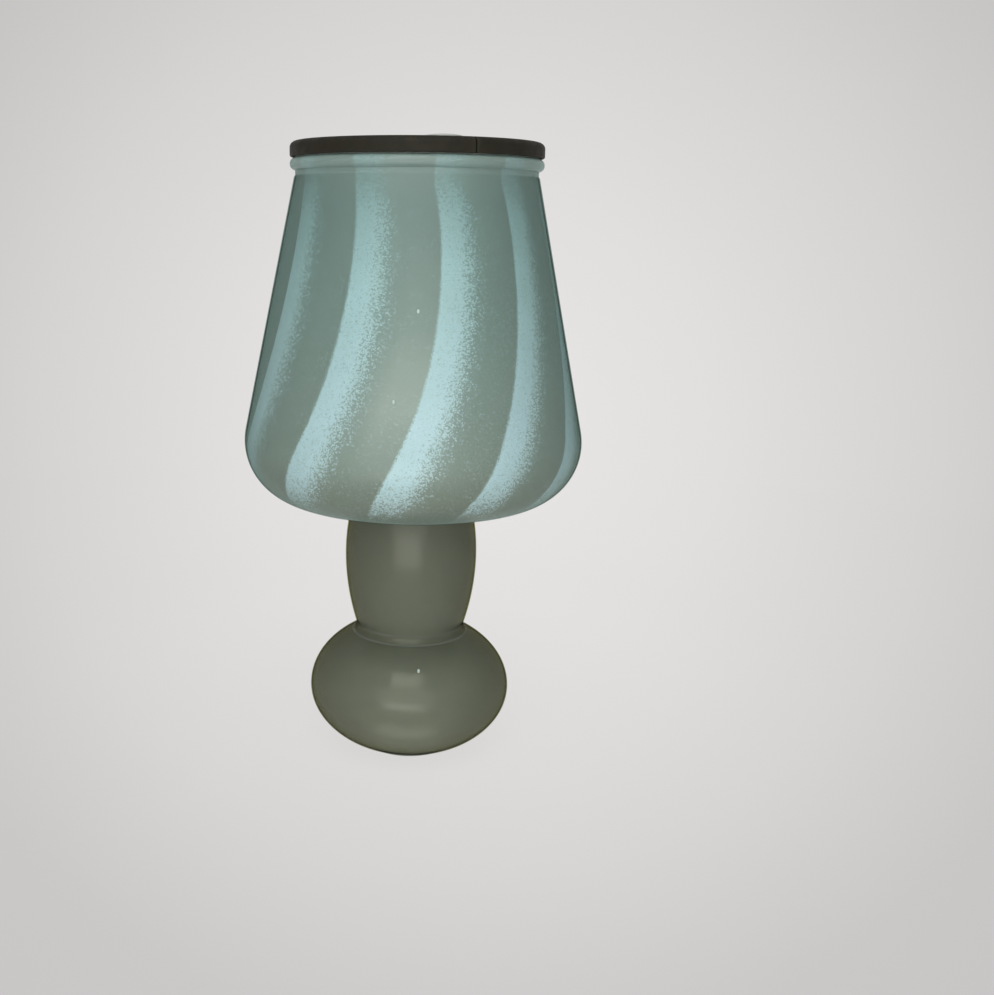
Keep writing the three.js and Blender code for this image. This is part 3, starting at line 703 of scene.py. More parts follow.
def neck_line(depth):
    """Neck, thread lines and bead, down to a depth under the clear surface."""
    depth *= neck_casing_share
    low = rim_height - neck_height
    half = bead_height / 2
    neck = lid_radius - bead_step - neck_step - depth
    proud = thread_proud * (depth == 0)
    line = [(neck, low + neck_start)]
    for height in thread_heights:
        line += arc((neck, low + height), (proud, thread_half), -math.pi / 2, math.pi / 2, 4)
    swell = bead_step + neck_step
    return line + arc((neck, rim_height - half), (swell, half), -math.pi / 2, math.pi / 2, 14)


print("shade outline of", len(shade_line(0) + neck_line(0)), "points")

# %% [markdown]
# The shade's two layers. The coloured one is closed by the wall's inner side, the clear one by
# its own underside, and a hair's gap keeps the two surfaces apart.

# %% Shade
core_depth = casing_wall + layer_gap
inner = shade_line(shade_wall)[:-1]
glass_core = shade_line(core_depth, *casing_shares) + neck_line(core_depth)
glass_core += [(neck_bore, rim_height), (neck_bore, rim_height - neck_height)] + inner[::-1]
shade = turned("shade_colour_glass", glass_core, closed=True)
finished(shade, 50, "lamp_glass", "striped_glass", striped_glass, "shade_glass")

clear = shade_line(0) + neck_line(0)
under = shade_line(casing_wall, *casing_shares) + neck_line(casing_wall)
casing = turned("shade_clear_casing", clear + under[::-1], closed=True)
finished(casing, 50, "lamp_glass", "striped_glass", shade_casing_glass)

# %% [markdown]
# Plain glass. The foot has no stripes: one olive green in two close tones, satin, with a
# thin gloss coat that keeps the window's reflection readable.

# %% Plain glass finish
def plain_glass_finish():
    sockets = {"Roughness": 0.3, "Specular IOR Level": 0.2, "Coat Weight": 0.4, "Coat Roughness": 0.09}
    material, tree, shader = new_material("plain_glass_finish", sockets)
    fine, cloud = grain(tree, 0.9 * mm)
    colour = mixed(tree, cloud, srgb(89, 94, 75), srgb(83, 91, 73))
    colour = mixed(tree, sums(tree, "MULTIPLY", fine, 0.12), colour, srgb(74, 82, 63))
    feed(tree, shader, Base_Color=colour, Normal=bumped(tree, fine, 0.0025 * mm))
    return material


plain_glass = plain_glass_finish()
print("plain glass ready")

# %% [markdown]
# Foot and stem. One blown piece: a squat bulb, a tight crease where it was nipped in, and a
# barrel above. Its two curves meet at the crease, and a bevel on that one ring of edges gives
# the small rounding that the tool left.

# %% Foot and stem
foot_radius = 21.4 * mm
widest_height = 29 * mm
crease_radius = 24.2 * mm
crease_height = 56.9 * mm
barrel_radius = 30.2 * mm
barrel_share = 0.6
stem_top_radius = 27.3 * mm
base_wall = 3 * mm
crease_rounding = 3 * mm
ring_reach = (0.3 * mm, 0.7 * mm)


def bulb_line(depth, low):
    foot_angle = math.acos(foot_radius / bulb_radius)
    crease_angle = math.acos(crease_radius / bulb_radius)
    down = (widest_height - pad_top) / math.sin(foot_angle) - depth
    up = (crease_height - widest_height) / math.sin(crease_angle) - depth
    centre = (0, widest_height)
    width = bulb_radius - depth
    first = -math.asin(min(1, (widest_height - low) / down))
    last = math.acos((crease_radius - depth) / width)
    return arc(centre, (width, down), first, 0, 24) + arc(centre, (width, up), 0, last, 24)[1:]


def barrel_line(depth, top, steps=24):
    widest = crease_height + barrel_share * (stem_top - crease_height)
    line = []
    for i in range(steps + 1):
        height = crease_height + (top - crease_height) * i / steps
        low = height < widest
        end = crease_radius if low else stem_top_radius
        share = (height - widest) / (widest - crease_height if low else stem_top - widest)
        line.append((barrel_radius - (barrel_radius - end) * share ** 2 - depth, height))
    return line


def base_line(depth, low):
    return bulb_line(depth, low) + barrel_line(depth, stem_top)[1:]


def crease_rounded(piece, depth):
    bpy.context.view_layer.objects.active = piece
    bpy.ops.object.mode_set(mode="EDIT")
    ring = crease_radius - depth
    pick("EDGE", lambda at: abs(math.hypot(at.x, at.y) - ring) < ring_reach[0]
         and abs(at.z - crease_height) < ring_reach[1])
    bpy.ops.mesh.bevel(offset=crease_rounding, segments=5, affect="EDGES")
    bpy.ops.object.mode_set(mode="OBJECT")


outer = [(0, pad_top)] + base_line(core_depth, pad_top)
wall = base_line(base_wall, pad_top + base_wall)
base = turned("base_colour_glass", outer + wall[::-1] + [(0, pad_top + base_wall)])
crease_rounded(base, core_depth)
finished(base, 60, "lamp_glass", "plain_glass", plain_glass, "base_glass")

clear = base_line(0, pad_top)
under = base_line(casing_wall, pad_top)
casing = turned("base_clear_casing", clear + under[::-1], closed=True)
crease_rounded(casing, 0)
finished(casing, 60, "lamp_glass", "plain_glass", base_casing_glass)

# %% [markdown]
# Dark shell. Lid and trim strip are one moulded plastic, so dark an olive brown that it passes
# for black. Two close tones, worn corners and a little dust keep it from being a flat patch.

# %% Dark shell finish
def dark_shell_finish():
    material, tree, shader = new_material("dark_shell_finish", {"Roughness": 0.6, "Specular IOR Level": 0.14})
    fine, cloud = grain(tree, 0.35 * mm)
    colour = mixed(tree, cloud, srgb(38, 34, 25), srgb(31, 31, 23))
    colour = mixed(tree, rubbed(tree, 0.3), colour, srgb(92, 90, 80))
    colour = mixed(tree, dusty(tree, 0.12), colour, srgb(118, 116, 108))
    rough = spread(tree, cloud, 0, 1, 0.5, 0.66)
    feed(tree, shader, Base_Color=colour, Roughness=rough, Normal=bumped(tree, fine, 0.02 * mm))
    return material


dark_shell = dark_shell_finish()
print("dark shell ready")

# %% [markdown]
# Trim strip. It wraps the lid's edge and is bent from a straight length, so its two ends meet
# right of the front, in a fine open seam. A cut through a full ring would do, but a ring that
# is spun almost all the way round and closed at its ends is how the real one is made.

# %% Trim strip
ledge_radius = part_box("lid_cover")[1].x
strip_lip = 4.2 * mm
strip_nose = 2.7 * mm
strip_heel = 0.8 * mm
strip_wall = 1.9 * mm
fit_gap = 0.3 * mm
seam_azimuth = 25.23
seam_width = 0.7 * mm
strip_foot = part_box("lid_band")[0].z
crown_radius = lid_radius - strip_wall - strip_lip - fit_gap
tray_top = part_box("lid_tray")[1].z


def strip_outline():
    inner = ledge_radius + fit_gap
    lip = (tray_top + lid_edge_top) / 2 + fit_gap
    line = [(inner, strip_foot)] + foot_round(lid_radius, strip_foot, strip_heel, 6)
    line += top_round(lid_radius, lid_edge_top, strip_nose, 12)
    return line + [(crown_radius + fit_gap, lid_edge_top), (crown_radius + fit_gap, lip), (inner, lip)]


gap_angle = seam_width / lid_radius
seam = math.radians(seam_azimuth - 90)
strip = turned("lid_trim_strip", strip_outline(), closed=True, sweep=math.tau - gap_angle,
               start=seam - gap_angle / 2)
bpy.ops.object.mode_set(mode="EDIT")
for angle in (seam + gap_angle / 2, seam - gap_angle / 2):
    across = Vector((-math.sin(angle), math.cos(angle), 0))
    pick("EDGE", lambda at: abs(at.dot(across)) < 0.02 * mm and at.y < 0)
    bpy.ops.mesh.edge_face_add()
close_up()
bpy.ops.object.mode_set(mode="OBJECT")
modified(strip, "BEVEL", width=0.15 * mm, segments=2, limit_method="ANGLE", angle_limit=math.radians(60))
finished(strip, 40, "lid", "dark_shell", dark_shell, "lid_band")

# %% [markdown]
# Finishes of the small pieces. Moulded plastic, rubber, sleeves and painted parts differ only in
# tone, grain size and gloss, so one recipe makes them all: two close tones mixed by a cloudy
# noise, rubbed edges, a little dust on level faces, and a fine relief.

# %% Recipe for moulded surfaces
def moulded_finish(name, light, dark, size, rough, rub=0.2, dust=0.1, relief=0.01, **sockets):
    shader_sockets = {socket.replace("_", " "): value for socket, value in sockets.items()}
    material, tree, shader = new_material(name, shader_sockets)
    fine, cloud = grain(tree, size * mm)
    colour = mixed(tree, cloud, srgb(*light), srgb(*dark))
    worn = srgb(*[min(255, tone * 1.25 + 24) for tone in light])
    colour = mixed(tree, rubbed(tree, rub), colour, worn)
    colour = mixed(tree, dusty(tree, dust), colour, srgb(150, 148, 140))
    roughness = spread(tree, cloud, 0, 1, *rough)
    feed(tree, shader, Base_Color=colour, Roughness=roughness, Normal=bumped(tree, fine, relief * mm))
    return material


inner_plastic = moulded_finish("inner_plastic_finish", (62, 60, 53), (54, 53, 47), 0.4, (0.5, 0.65))
soft_rubber = moulded_finish("soft_rubber_finish", (150, 155, 146), (138, 144, 136), 0.8, (0.55, 0.7),
                             rub=0, Coat_Weight=0.1, Coat_Roughness=0.4)
# The foot pad's pale tone is painted light, set to lift the shade that falls under the foot.
pad_rubber_painted_light = moulded_finish("pad_rubber_finish", (150, 154, 138), (140, 145, 130), 0.5, (0.6, 0.8), rub=0)
black_component = moulded_finish("black_component_finish", (34, 34, 35), (26, 26, 28), 0.15, (0.45, 0.6))
red_sleeve = moulded_finish("red_sleeve_finish", (168, 48, 40), (150, 40, 34), 0.3, (0.35, 0.5), rub=0)
black_sleeve = moulded_finish("black_sleeve_finish", (36, 36, 37), (28, 28, 30), 0.3, (0.35, 0.5), rub=0)
milky_lens = moulded_finish("milky_lens_finish", (232, 230, 220), (224, 222, 213), 1.2, (0.25, 0.35),
                            rub=0, relief=0.004, Subsurface_Weight=0.3, Subsurface_Radius=(0.003,) * 3,
                            Coat_Weight=0.3, Coat_Roughness=0.1)
milky_button = moulded_finish("milky_button_finish", (196, 199, 192), (186, 190, 183), 0.6, (0.35, 0.45),
                              rub=0, dust=0.2, Subsurface_Weight=0.2, Subsurface_Radius=(0.002,) * 3)
print("moulded finishes ready")

# %% [markdown]
# Metal. Zinc plating is a mosaic of dull crystals over fine brush lines, and tinned spring
# steel is brighter and smoother. Both are one recipe: crystals from a cell pattern, lines from a
# noise that is stretched along one axis.

# %% Recipe for plated metal
def plated_finish(name, light, dark, crystal, rough, lines):
    material, tree, shader = new_material(name, {"Metallic": 1.0})
    place = place_in(tree)
    cells = node(tree, "TexVoronoi", {"Vector": place, "Scale": 1 / (crystal * mm)})
    tone = node(tree, "SeparateColor", {0: cells.outputs["Color"]}).outputs[0]
    drawn = node(tree, "Mapping", {"Vector": place, "Scale": (1, 1, 14)}).outputs[0]
    brushed = node(tree, "TexNoise", {"Vector": drawn, "Scale": 1 / (2 * mm), "Detail": 2}).outputs[0]
    colour = mixed(tree, tone, srgb(*light), srgb(*dark))
    colour = mixed(tree, dusty(tree, 0.15), colour, srgb(150, 146, 136))
    roughness = spread(tree, tone, 0, 1, *rough)
    feed(tree, shader, Base_Color=colour, Roughness=roughness, Normal=bumped(tree, brushed, lines * mm))
    return material


zinc_steel = plated_finish("zinc_steel_finish", (196, 198, 198), (176, 179, 182), 0.9, (0.28, 0.4), 0.02)
tinned_contact = plated_finish("tinned_contact_finish", (212, 208, 198), (200, 196, 187), 0.5,
                               (0.18, 0.26), 0.01)
print("metal finishes ready")

# %% [markdown]
# Turned discs. Pad, gaskets and washers are outlines turned about an upright axis, with their
# edges rounded in the outline itself, which costs no modifier.

# %% Discs of the clamp and the foot
def disc_line(radius, low, high, edge, hole=0):
    return [(hole, low)] + foot_round(radius, low, edge) + top_round(radius, high, edge) + [(hole, high)]


for source, name, edge, hole, slot, material in (
        ("foot_pad", "foot_pad_ring", 0.35 * mm, 0, "soft_rubber", pad_rubber_painted_light),
        ("lower_gasket", "stem_gasket", 0.4 * mm, clamp_hole, "soft_rubber", soft_rubber),
        ("upper_gasket", "floor_gasket", 0.5 * mm, clamp_hole, "soft_rubber", soft_rubber),
        ("clamp_washer", "broad_washer", 0.3 * mm, clamp_hole, "zinc_steel", zinc_steel),
        ("pull_plate", "pull_disc", 0.3 * mm, clamp_hole, "zinc_steel", zinc_steel)):
    low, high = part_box(source)
    disc = turned(name, disc_line((high.x - low.x) / 2, low.z, high.z, edge, hole), 96, closed=hole > 0)
    finished(disc, 40, "lamp_glass", slot, material, source)

# %% [markdown]
# Cutting tools. Bars and blocks start as primitives, and are joined to a piece or cut from it
# with an exact boolean, as one drills and glues. They are gone once they have done their work.

# %% Cutting and simple solids
def drum(radius, low, high, place=(0, 0), sides=32, lying=None):
    """A round bar, upright, or lying along X with its middle at (y, z)."""
    bpy.ops.object.select_all(action="DESELECT")
    if lying:
        spot, turn_y = ((low + high) / 2, *lying), math.pi / 2
    else:
        spot, turn_y = (*place, (low + high) / 2), 0
    bpy.ops.mesh.primitive_cylinder_add(vertices=sides, radius=radius, depth=high - low, location=spot,
                                        rotation=(0, turn_y, 0))
    return settled()


def block(x, y, z, edge=0):
    """A box between pairs of limits, with rounded edges where asked."""
    bpy.ops.object.select_all(action="DESELECT")
    middle = [(low + high) / 2 for low, high in (x, y, z)]
    bpy.ops.mesh.primitive_cube_add(size=1, location=middle, scale=[high - low for low, high in (x, y, z)])
    piece = settled()
    if edge:
        modified(piece, "BEVEL", width=edge, segments=2)
    return piece


def joined(piece, tool, operation="UNION"):
    modified(piece, "BOOLEAN", object=tool, operation=operation, solver="EXACT")
    bpy.data.objects.remove(tool)


def cut(piece, tool):
    joined(piece, tool, "DIFFERENCE")


print("cutting tools ready")

# %% [markdown]
# Joint of stem and shade. A bolt goes down through the shade's floor, two gaskets and a rubber
# bung into a nut. The bung is wider than the stem's mouth, so tightening grips the glass from
# inside. Its ribs are drawn into the outline; the bolt's hexagon socket is cut with a boolean.

# %% Bung, bolt and nut
bung_low, bung_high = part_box("stem_bung")
rib_depth = 0.35 * mm
rib_pitch = 4 * mm
bung_gap = 0.4 * mm


def bung_line():
    line = []
    steps = 64
    for i in range(steps + 1):
        height = bung_low.z + (bung_high.z - bung_low.z) * i / steps
        radius = barrel_line(base_wall + bung_gap, height, 1)[-1][0]
        groove = max(0, math.cos(math.tau * (height - bung_low.z) / rib_pitch) - 0.5) * 2 * rib_depth
        line.append((radius - groove, height))
    return [(clamp_hole, bung_low.z)] + line + [(clamp_hole, bung_high.z)]


bung = turned("ribbed_bung", bung_line(), 96, closed=True)
finished(bung, 50, "lamp_glass", "soft_rubber", soft_rubber, "stem_bung")

bolt_low, bolt_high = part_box("clamp_bolt")
bolt_radius = 3 * mm
head_radius = 5.5 * mm
head_height = 4 * mm
head_edge = 0.3 * mm
socket_radius = 2.5 * mm
socket_depth = 2 * mm
thread_pitch = 0.8 * mm
thread_depth = 0.35 * mm
thread_end = bolt_low.z + 14 * mm
head_low = bolt_high.z - head_height
line = [(0, bolt_low.z), (bolt_radius - thread_depth, bolt_low.z)]
for i in range(int((thread_end - bolt_low.z) / thread_pitch)):
    start = bolt_low.z + (i + 0.25) * thread_pitch
    line += [(bolt_radius - thread_depth, start), (bolt_radius, start + thread_pitch / 2)]
line += [(bolt_radius, thread_end + thread_pitch), (bolt_radius, head_low)]
line += [(head_radius - head_edge, head_low), (head_radius, head_low + head_edge)]
line += arc((0, bolt_high.z - head_height / 2), (head_radius, head_height / 2), 0, math.pi / 2, 10)
bolt = turned("socket_bolt", line, 48)
cut(bolt, drum(socket_radius, bolt_high.z - socket_depth, bolt_high.z + mm, sides=6))
finished(bolt, 35, "lamp_glass", "zinc_steel", zinc_steel, "clamp_bolt")

nut_low, nut_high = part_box("clamp_nut")
nut = drum((nut_high.x - nut_low.x) / 2, nut_low.z, nut_high.z, sides=6)
modified(nut, "BEVEL", width=0.5 * mm, segments=3)
cut(nut, drum(clamp_hole, nut_low.z - mm, nut_high.z + mm, sides=48))
nut.name = "hexagon_nut"
finished(nut, 35, "lamp_glass", "zinc_steel", zinc_steel, "clamp_nut")

# %% [markdown]
# Seal. A soft ring under the lid, with two round-tipped fins that feel along the neck. A plain
# ring would look the same when shut, but the fins are what one sees when the lid is lifted.

# %% Rim seal
tray_radius = 46 * mm
seal_bore = tray_radius + fit_gap
seal_sleeve = seal_bore + 1 * mm
seal_edge = 0.3 * mm
flange_edge = 0.4 * mm
fin_reach = 1.6 * mm
fin_half = 0.8 * mm
fin_pitch = 3 * mm
skirt_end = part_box("rim_seal")[0].z
seal_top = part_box("rim_seal")[1].z
line = [(seal_bore, skirt_end), (seal_sleeve - seal_edge, skirt_end), (seal_sleeve, skirt_end + seal_edge)]
for fin in range(2):
    fin_middle = skirt_end + 2 * fin_half + fin * fin_pitch
    line += arc((seal_sleeve, fin_middle), (fin_reach, fin_half), -math.pi / 2, math.pi / 2, 12)
line += [(seal_sleeve, rim_height)]
line += arc((ledge_radius - flange_edge, (rim_height + seal_top) / 2),
            (flange_edge, (seal_top - rim_height) / 2), -math.pi / 2, math.pi / 2, 8)
line += [(seal_bore, seal_top)]
seal_ring = turned("finned_seal", line, closed=True)
finished(seal_ring, 50, "seal", "soft_rubber", soft_rubber, "rim_seal")

# %% [markdown]
# Lid cover. A low crown turned in one piece; four bosses for the screws are joined on below, and
# the hole for the push button is cut through. Its rim gets a small bevel, as a mould would give.

# %% Lid cover
def on_circle(radius, azimuth):
    """A place round the lamp's axis, by its azimuth in degrees from the front towards +X."""
    angle = math.radians(azimuth)
    return radius * math.sin(angle), -radius * math.cos(angle)


cover_low, cover_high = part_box("lid_cover")
crown_rise = cover_high.z - lid_edge_top
crown_edge = 0.5 * mm
crown_steps = 24
cover_bore = 46.2 * mm
cover_under = lid_edge_top - 1.6 * mm
ledge_high = (tray_top + lid_edge_top) / 2
tray_bore = 44.2 * mm
boss_radius = 3 * mm
boss_root = 0.8 * mm
boss_circle = tray_bore - boss_radius - 0.5 * mm
boss_places = [on_circle(boss_circle, azimuth) for azimuth in (55, -55, 110, -110)]
screw_hole = 1.5 * mm
screw_depth = 9 * mm
button_radius = 7.75 * mm
button_circle = 34.85 * mm
button_azimuth = 17.5
button_place = on_circle(button_circle, button_azimuth)

line = [(0, cover_under), (cover_bore, cover_under), (cover_bore, tray_top), (ledge_radius, tray_top)]
line += [(ledge_radius, ledge_high), (crown_radius, ledge_high)]
line += top_round(crown_radius, lid_edge_top, crown_edge)
for step in range(crown_steps - 1, -1, -1):
    radius = crown_radius * step / crown_steps
    line.append((radius, lid_edge_top + crown_rise * (1 - (radius / crown_radius) ** 2)))
cover = turned("crowned_cover", line)
for place in boss_places:
    joined(cover, drum(boss_radius, cover_low.z, cover_under + boss_root, place))
    cut(cover, drum(screw_hole, cover_low.z - mm, cover_low.z + screw_depth, place))
cut(cover, drum(button_radius + fit_gap, cover_under - mm, cover_high.z + mm, button_place, 96))
bpy.context.view_layer.objects.active = cover
bpy.ops.object.mode_set(mode="EDIT")
middle = Vector((*button_place, 0))
pick("EDGE", lambda at: abs((at - middle).to_2d().length - button_radius - fit_gap) < 0.01 * mm
     and at.z > cover_under + 0.5 * mm)
bpy.ops.mesh.bevel(offset=0.35 * mm, segments=3, affect="EDGES")
bpy.ops.object.mode_set(mode="OBJECT")
finished(cover, 35, "lid", "dark_shell", dark_shell, "lid_cover")

# %% [markdown]
# Push button. A milky dome with a flange that keeps it under the cover, and a short stem that
# meets the switch. It is drawn as one outline and turned at its place off the lamp's axis.

# %% Push button
button_low, button_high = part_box("power_button")
flange_high = cover_under - fit_gap
flange_low = flange_high - 1.4 * mm
flange_radius = button_radius + 1.1 * mm
stem_radius = 2 * mm
button_edge = 0.3 * mm
dome_top = button_high.z - 0.35 * mm
shoulder = dome_top - 0.75 * mm
line = [(0, button_low.z), (stem_radius, button_low.z), (stem_radius, flange_low)]
line += [(flange_radius - button_edge, flange_low), (flange_radius, flange_low + button_edge)]
line += [(flange_radius, flange_high), (button_radius, flange_high)]
line += arc((0, shoulder), (button_radius, dome_top - shoulder), 0, math.pi / 2, 20)
button = turned("push_button_dome", line, 96, button_place)
finished(button, 40, "push_button", "button", milky_button, "power_button")

# %% [markdown]
# Tray. The cup that hangs in the neck. Its round part is turned; the bay for the cells, the
# posts of the board and the hinge lugs are joined on, and the holes are cut, in the order in
# which one would work it from solid stock.

# %% Lid tray
tray_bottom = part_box("light_lens")[0].z + 3 * mm
tray_floor = tray_bottom + 1.8 * mm
tray_rounding = 1.2 * mm
floor_corner = 0.6 * mm
bay_half = 24.25 * mm
bay_front = 11.925 * mm
bay_rear = 34.425 * mm
bay_wall = 1.5 * mm
cell_radius = 5.25 * mm
cell_height = tray_bottom + 1.9 * mm + cell_radius
bay_top = cell_height + cell_radius + bay_wall
knuckle = 1.9 * mm
hinge_at = (bay_rear + 0.95 * mm, tray_bottom - fit_gap - knuckle)
lug_inner, lug_outer = 6.3 * mm, 9.3 * mm
pin_hole = 1.25 * mm
lens_hole = 9 * mm
lens_place = (0, bay_front - bay_wall - fit_gap - 10.2 * mm)
post_radius = 2.4 * mm
post_hole = 1.2 * mm
post_x = 13.1 * mm
board_low, board_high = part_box("circuit_board")
post_places = [(-post_x, lens_place[1]), (post_x, lens_place[1]), on_circle(button_circle, -button_azimuth)]

line = [(0, tray_bottom)] + foot_round(tray_radius, tray_bottom, tray_rounding, 8)
line += [(tray_radius, seal_top)] + foot_round(ledge_radius, seal_top, 0.3 * mm, 4)
line += [(ledge_radius, tray_top), (tray_bore, tray_top), (tray_bore, tray_floor + floor_corner)]
line += [(tray_bore - floor_corner, tray_floor), (0, tray_floor)]
tray = turned("lid_tray_cup", line)
middle_floor = tray_floor - 0.9 * mm
bay_x = (-bay_half - bay_wall, bay_half + bay_wall)
joined(tray, block(bay_x, (bay_front - bay_wall, bay_rear + bay_wall), (middle_floor, bay_top), 0.5 * mm))
for place in post_places:
    joined(tray, drum(post_radius, middle_floor, board_low.z, place))
for side in (-1, 1):
    lug_x = sorted((side * lug_inner, side * lug_outer))
    joined(tray, block(lug_x, (bay_rear, hinge_at[0] + knuckle), (hinge_at[1], middle_floor)))
    joined(tray, drum(knuckle, *lug_x, lying=hinge_at))
cut(tray, block((-bay_half, bay_half), (bay_front, bay_rear), (tray_bottom - mm, bay_top + mm)))
for place in post_places:
    cut(tray, drum(post_hole, board_low.z - 2.6 * mm, board_high.z, place, 24))
for place in boss_places:
    cut(tray, drum(screw_hole, tray_bottom - mm, tray_floor + mm, place, 24))
cut(tray, drum(lens_hole, tray_bottom - mm, tray_floor + mm, lens_place, 64))
cut(tray, drum(pin_hole, -11 * mm, 11 * mm, lying=hinge_at, sides=24))
finished(tray, 35, "lid", "inner_plastic", inner_plastic, "lid_tray")

# %% [markdown]
# Battery door. A flat plate with a knuckle behind and a finger lip in front. Five fine bars
# beside the lip give the thumb some grip. A boolean fails where two faces lie in one plane, so
# each joined block is a sliver smaller than its neighbour. A steel pin carries the hinge.

# %% Battery door and its pin
door_half = 23.75 * mm
door_front = bay_front + 0.5 * mm
door_rear = bay_rear - 0.5 * mm
door_plate = 1.6 * mm
door_core = tray_bottom + 0.8 * mm
lip_bottom = tray_bottom - 1.8 * mm
lip_depth = 2.6 * mm
lip_x = (-6 * mm, 6 * mm)
sliver = 0.06 * mm
neck_x = (lip_x[0] + sliver, lip_x[1] - sliver)
first_bar = 5 * mm
bar_pitch = 2 * mm
bar_width = 0.8 * mm

plate_z = (tray_bottom, tray_bottom + door_plate)
door = block((-door_half, door_half), (door_front, door_rear), plate_z, 0.3 * mm)
lip_rear = door_front + lip_depth
for x, y, z, edge in (
        (neck_x, (door_front + sliver, lip_rear - sliver), (lip_bottom + 2 * sliver, door_core), 0),
        (lip_x, (door_front - 2 * mm, lip_rear), (lip_bottom, tray_bottom - fit_gap), 0.4 * mm),
        (neck_x, (door_rear - lip_depth, door_rear - sliver), (hinge_at[1] - fit_gap, door_core), 0)):
    joined(door, block(x, y, z, edge))
joined(door, drum(knuckle, *lip_x, lying=hinge_at))
for bar in range(5):
    bar_y = door_front + first_bar + bar * bar_pitch
    bar_x = 9 * mm - sliver * bar
    bar_z = (tray_bottom - 0.25 * mm, tray_bottom + 0.5 * mm)
    joined(door, block((-bar_x, bar_x), (bar_y, bar_y + bar_width), bar_z, 0.2 * mm))
cut(door, drum(pin_hole, -8 * mm, 8 * mm, lying=hinge_at, sides=24))
door.name = "cell_bay_door"
finished(door, 35, "door", "inner_plastic", inner_plastic, "battery_door")

pin = drum(1 * mm, -lug_outer, lug_outer, lying=hinge_at, sides=32)
modified(pin, "BEVEL", width=0.2 * mm, segments=2, limit_method="ANGLE")
pin.name = "hinge_pin"
finished(pin, 35, "lid", "zinc_steel", zinc_steel, "door_pin")

# %% [markdown]
# Screws. A domed head with a cross recess, modelled once for each size at its first place and
# copied to the others, each copy with a mesh of its own. Their threads are rings, not a helix:
# they sit in blind holes, and nobody sees them turn.

# %% Screws
screw_pitch = 0.5 * mm
screw_thread = 0.2 * mm
head_side_share = 0.35
recess_shares = (0.55, 0.11)
recess_depth_share = 0.5


def cross_screw(name, place, head, tip, head_radius, shank_radius, head_height):
    """A screw whose head's outer face is at height head, with threads towards its tip."""
    way = 1 if head > tip else -1
    seat = head - way * head_height
    side = seat + way * head_height * head_side_share
    line = [(0, tip), (shank_radius - screw_thread, tip)]
    for i in range(int(abs(seat - tip) / screw_pitch) - 1):
        at = tip + way * (i + 0.5) * screw_pitch
        line += [(shank_radius - screw_thread, at), (shank_radius, at + way * screw_pitch / 2)]
    line += [(shank_radius, seat), (head_radius, seat), (head_radius, side)]
    line += arc((0, side), (head_radius, way * head_height * (1 - head_side_share)), 0, math.pi / 2, 8)[1:]
    screw = turned(name, line, 40, place)
    half, slot = [head_radius * share for share in recess_shares]
    levels = sorted((head - way * head_height * recess_depth_share, head + way * mm))
    for x, y in ((half, slot), (slot, half)):
        cut(screw, block((place[0] - x, place[0] + x), (place[1] - y, place[1] + y), levels))
    smooth(screw, 35)
    return screw


def copy_to(piece, name, shift):
    twin = bpy.data.objects.new(name, piece.data.copy())
    twin.data.name = name
    bpy.context.scene.collection.objects.link(twin)
    twin.data.transform(Matrix.Translation(shift))
    return twin


cover_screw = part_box("lid_screw_1")
light_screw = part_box("board_screw_1")
for name, source, places, head, tip, sizes in (
        ("cover_screw", "lid_screw", boss_places, cover_screw[0].z, cover_screw[1].z, (2.4, 1.2, 1.4)),
        ("light_screw", "board_screw", post_places, light_screw[1].z, light_screw[0].z, (1.8, 0.9, 1.1))):
    first = cross_screw(f"{name}_1", places[0], head, tip, *[size * mm for size in sizes])
    for i, place in enumerate(places):
        shift = Vector((*place, 0)) - Vector((*places[0], 0))
        screw = copy_to(first, f"{name}_{i + 1}", shift) if i else first
        dressed(screw, "lid", "zinc_steel", zinc_steel, f"{source}_{i + 1}")

# %% [markdown]
# Cells. Each has a bright can with a raised tip and, round it, a thin shrunk sleeve whose ends
# are folded over the rim. Both are drawn as upright outlines, turned, and then laid along X.

# %% Cells and their sleeves
cell_sleeve = moulded_finish("cell_sleeve_finish", (82, 98, 108), (74, 90, 101), 0.5, (0.22, 0.32), dust=0.05,
                             Coat_Weight=0.5, Coat_Roughness=0.15)
sleeve_wall = 0.15 * mm
sleeve_proud = 0.1 * mm
fold = cell_radius - 1.3 * mm
can_radius = cell_radius - sleeve_wall
can_foot_edge = 0.5 * mm
can_top_edge = 0.8 * mm
tip_radius = 1.9 * mm
tip_length = 0.8 * mm
tip_edge = 0.3 * mm


def laid(piece, node_name, tip_way):
    """Lays an upright turned piece along X, in the middle of a node, with its top towards tip_way."""
    low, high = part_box(node_name)
    across = Matrix.Rotation(tip_way * math.pi / 2, 4, "Y")
    piece.data.transform(Matrix.Translation((0, (low.y + high.y) / 2, (low.z + high.z) / 2)) @ across)
    return piece


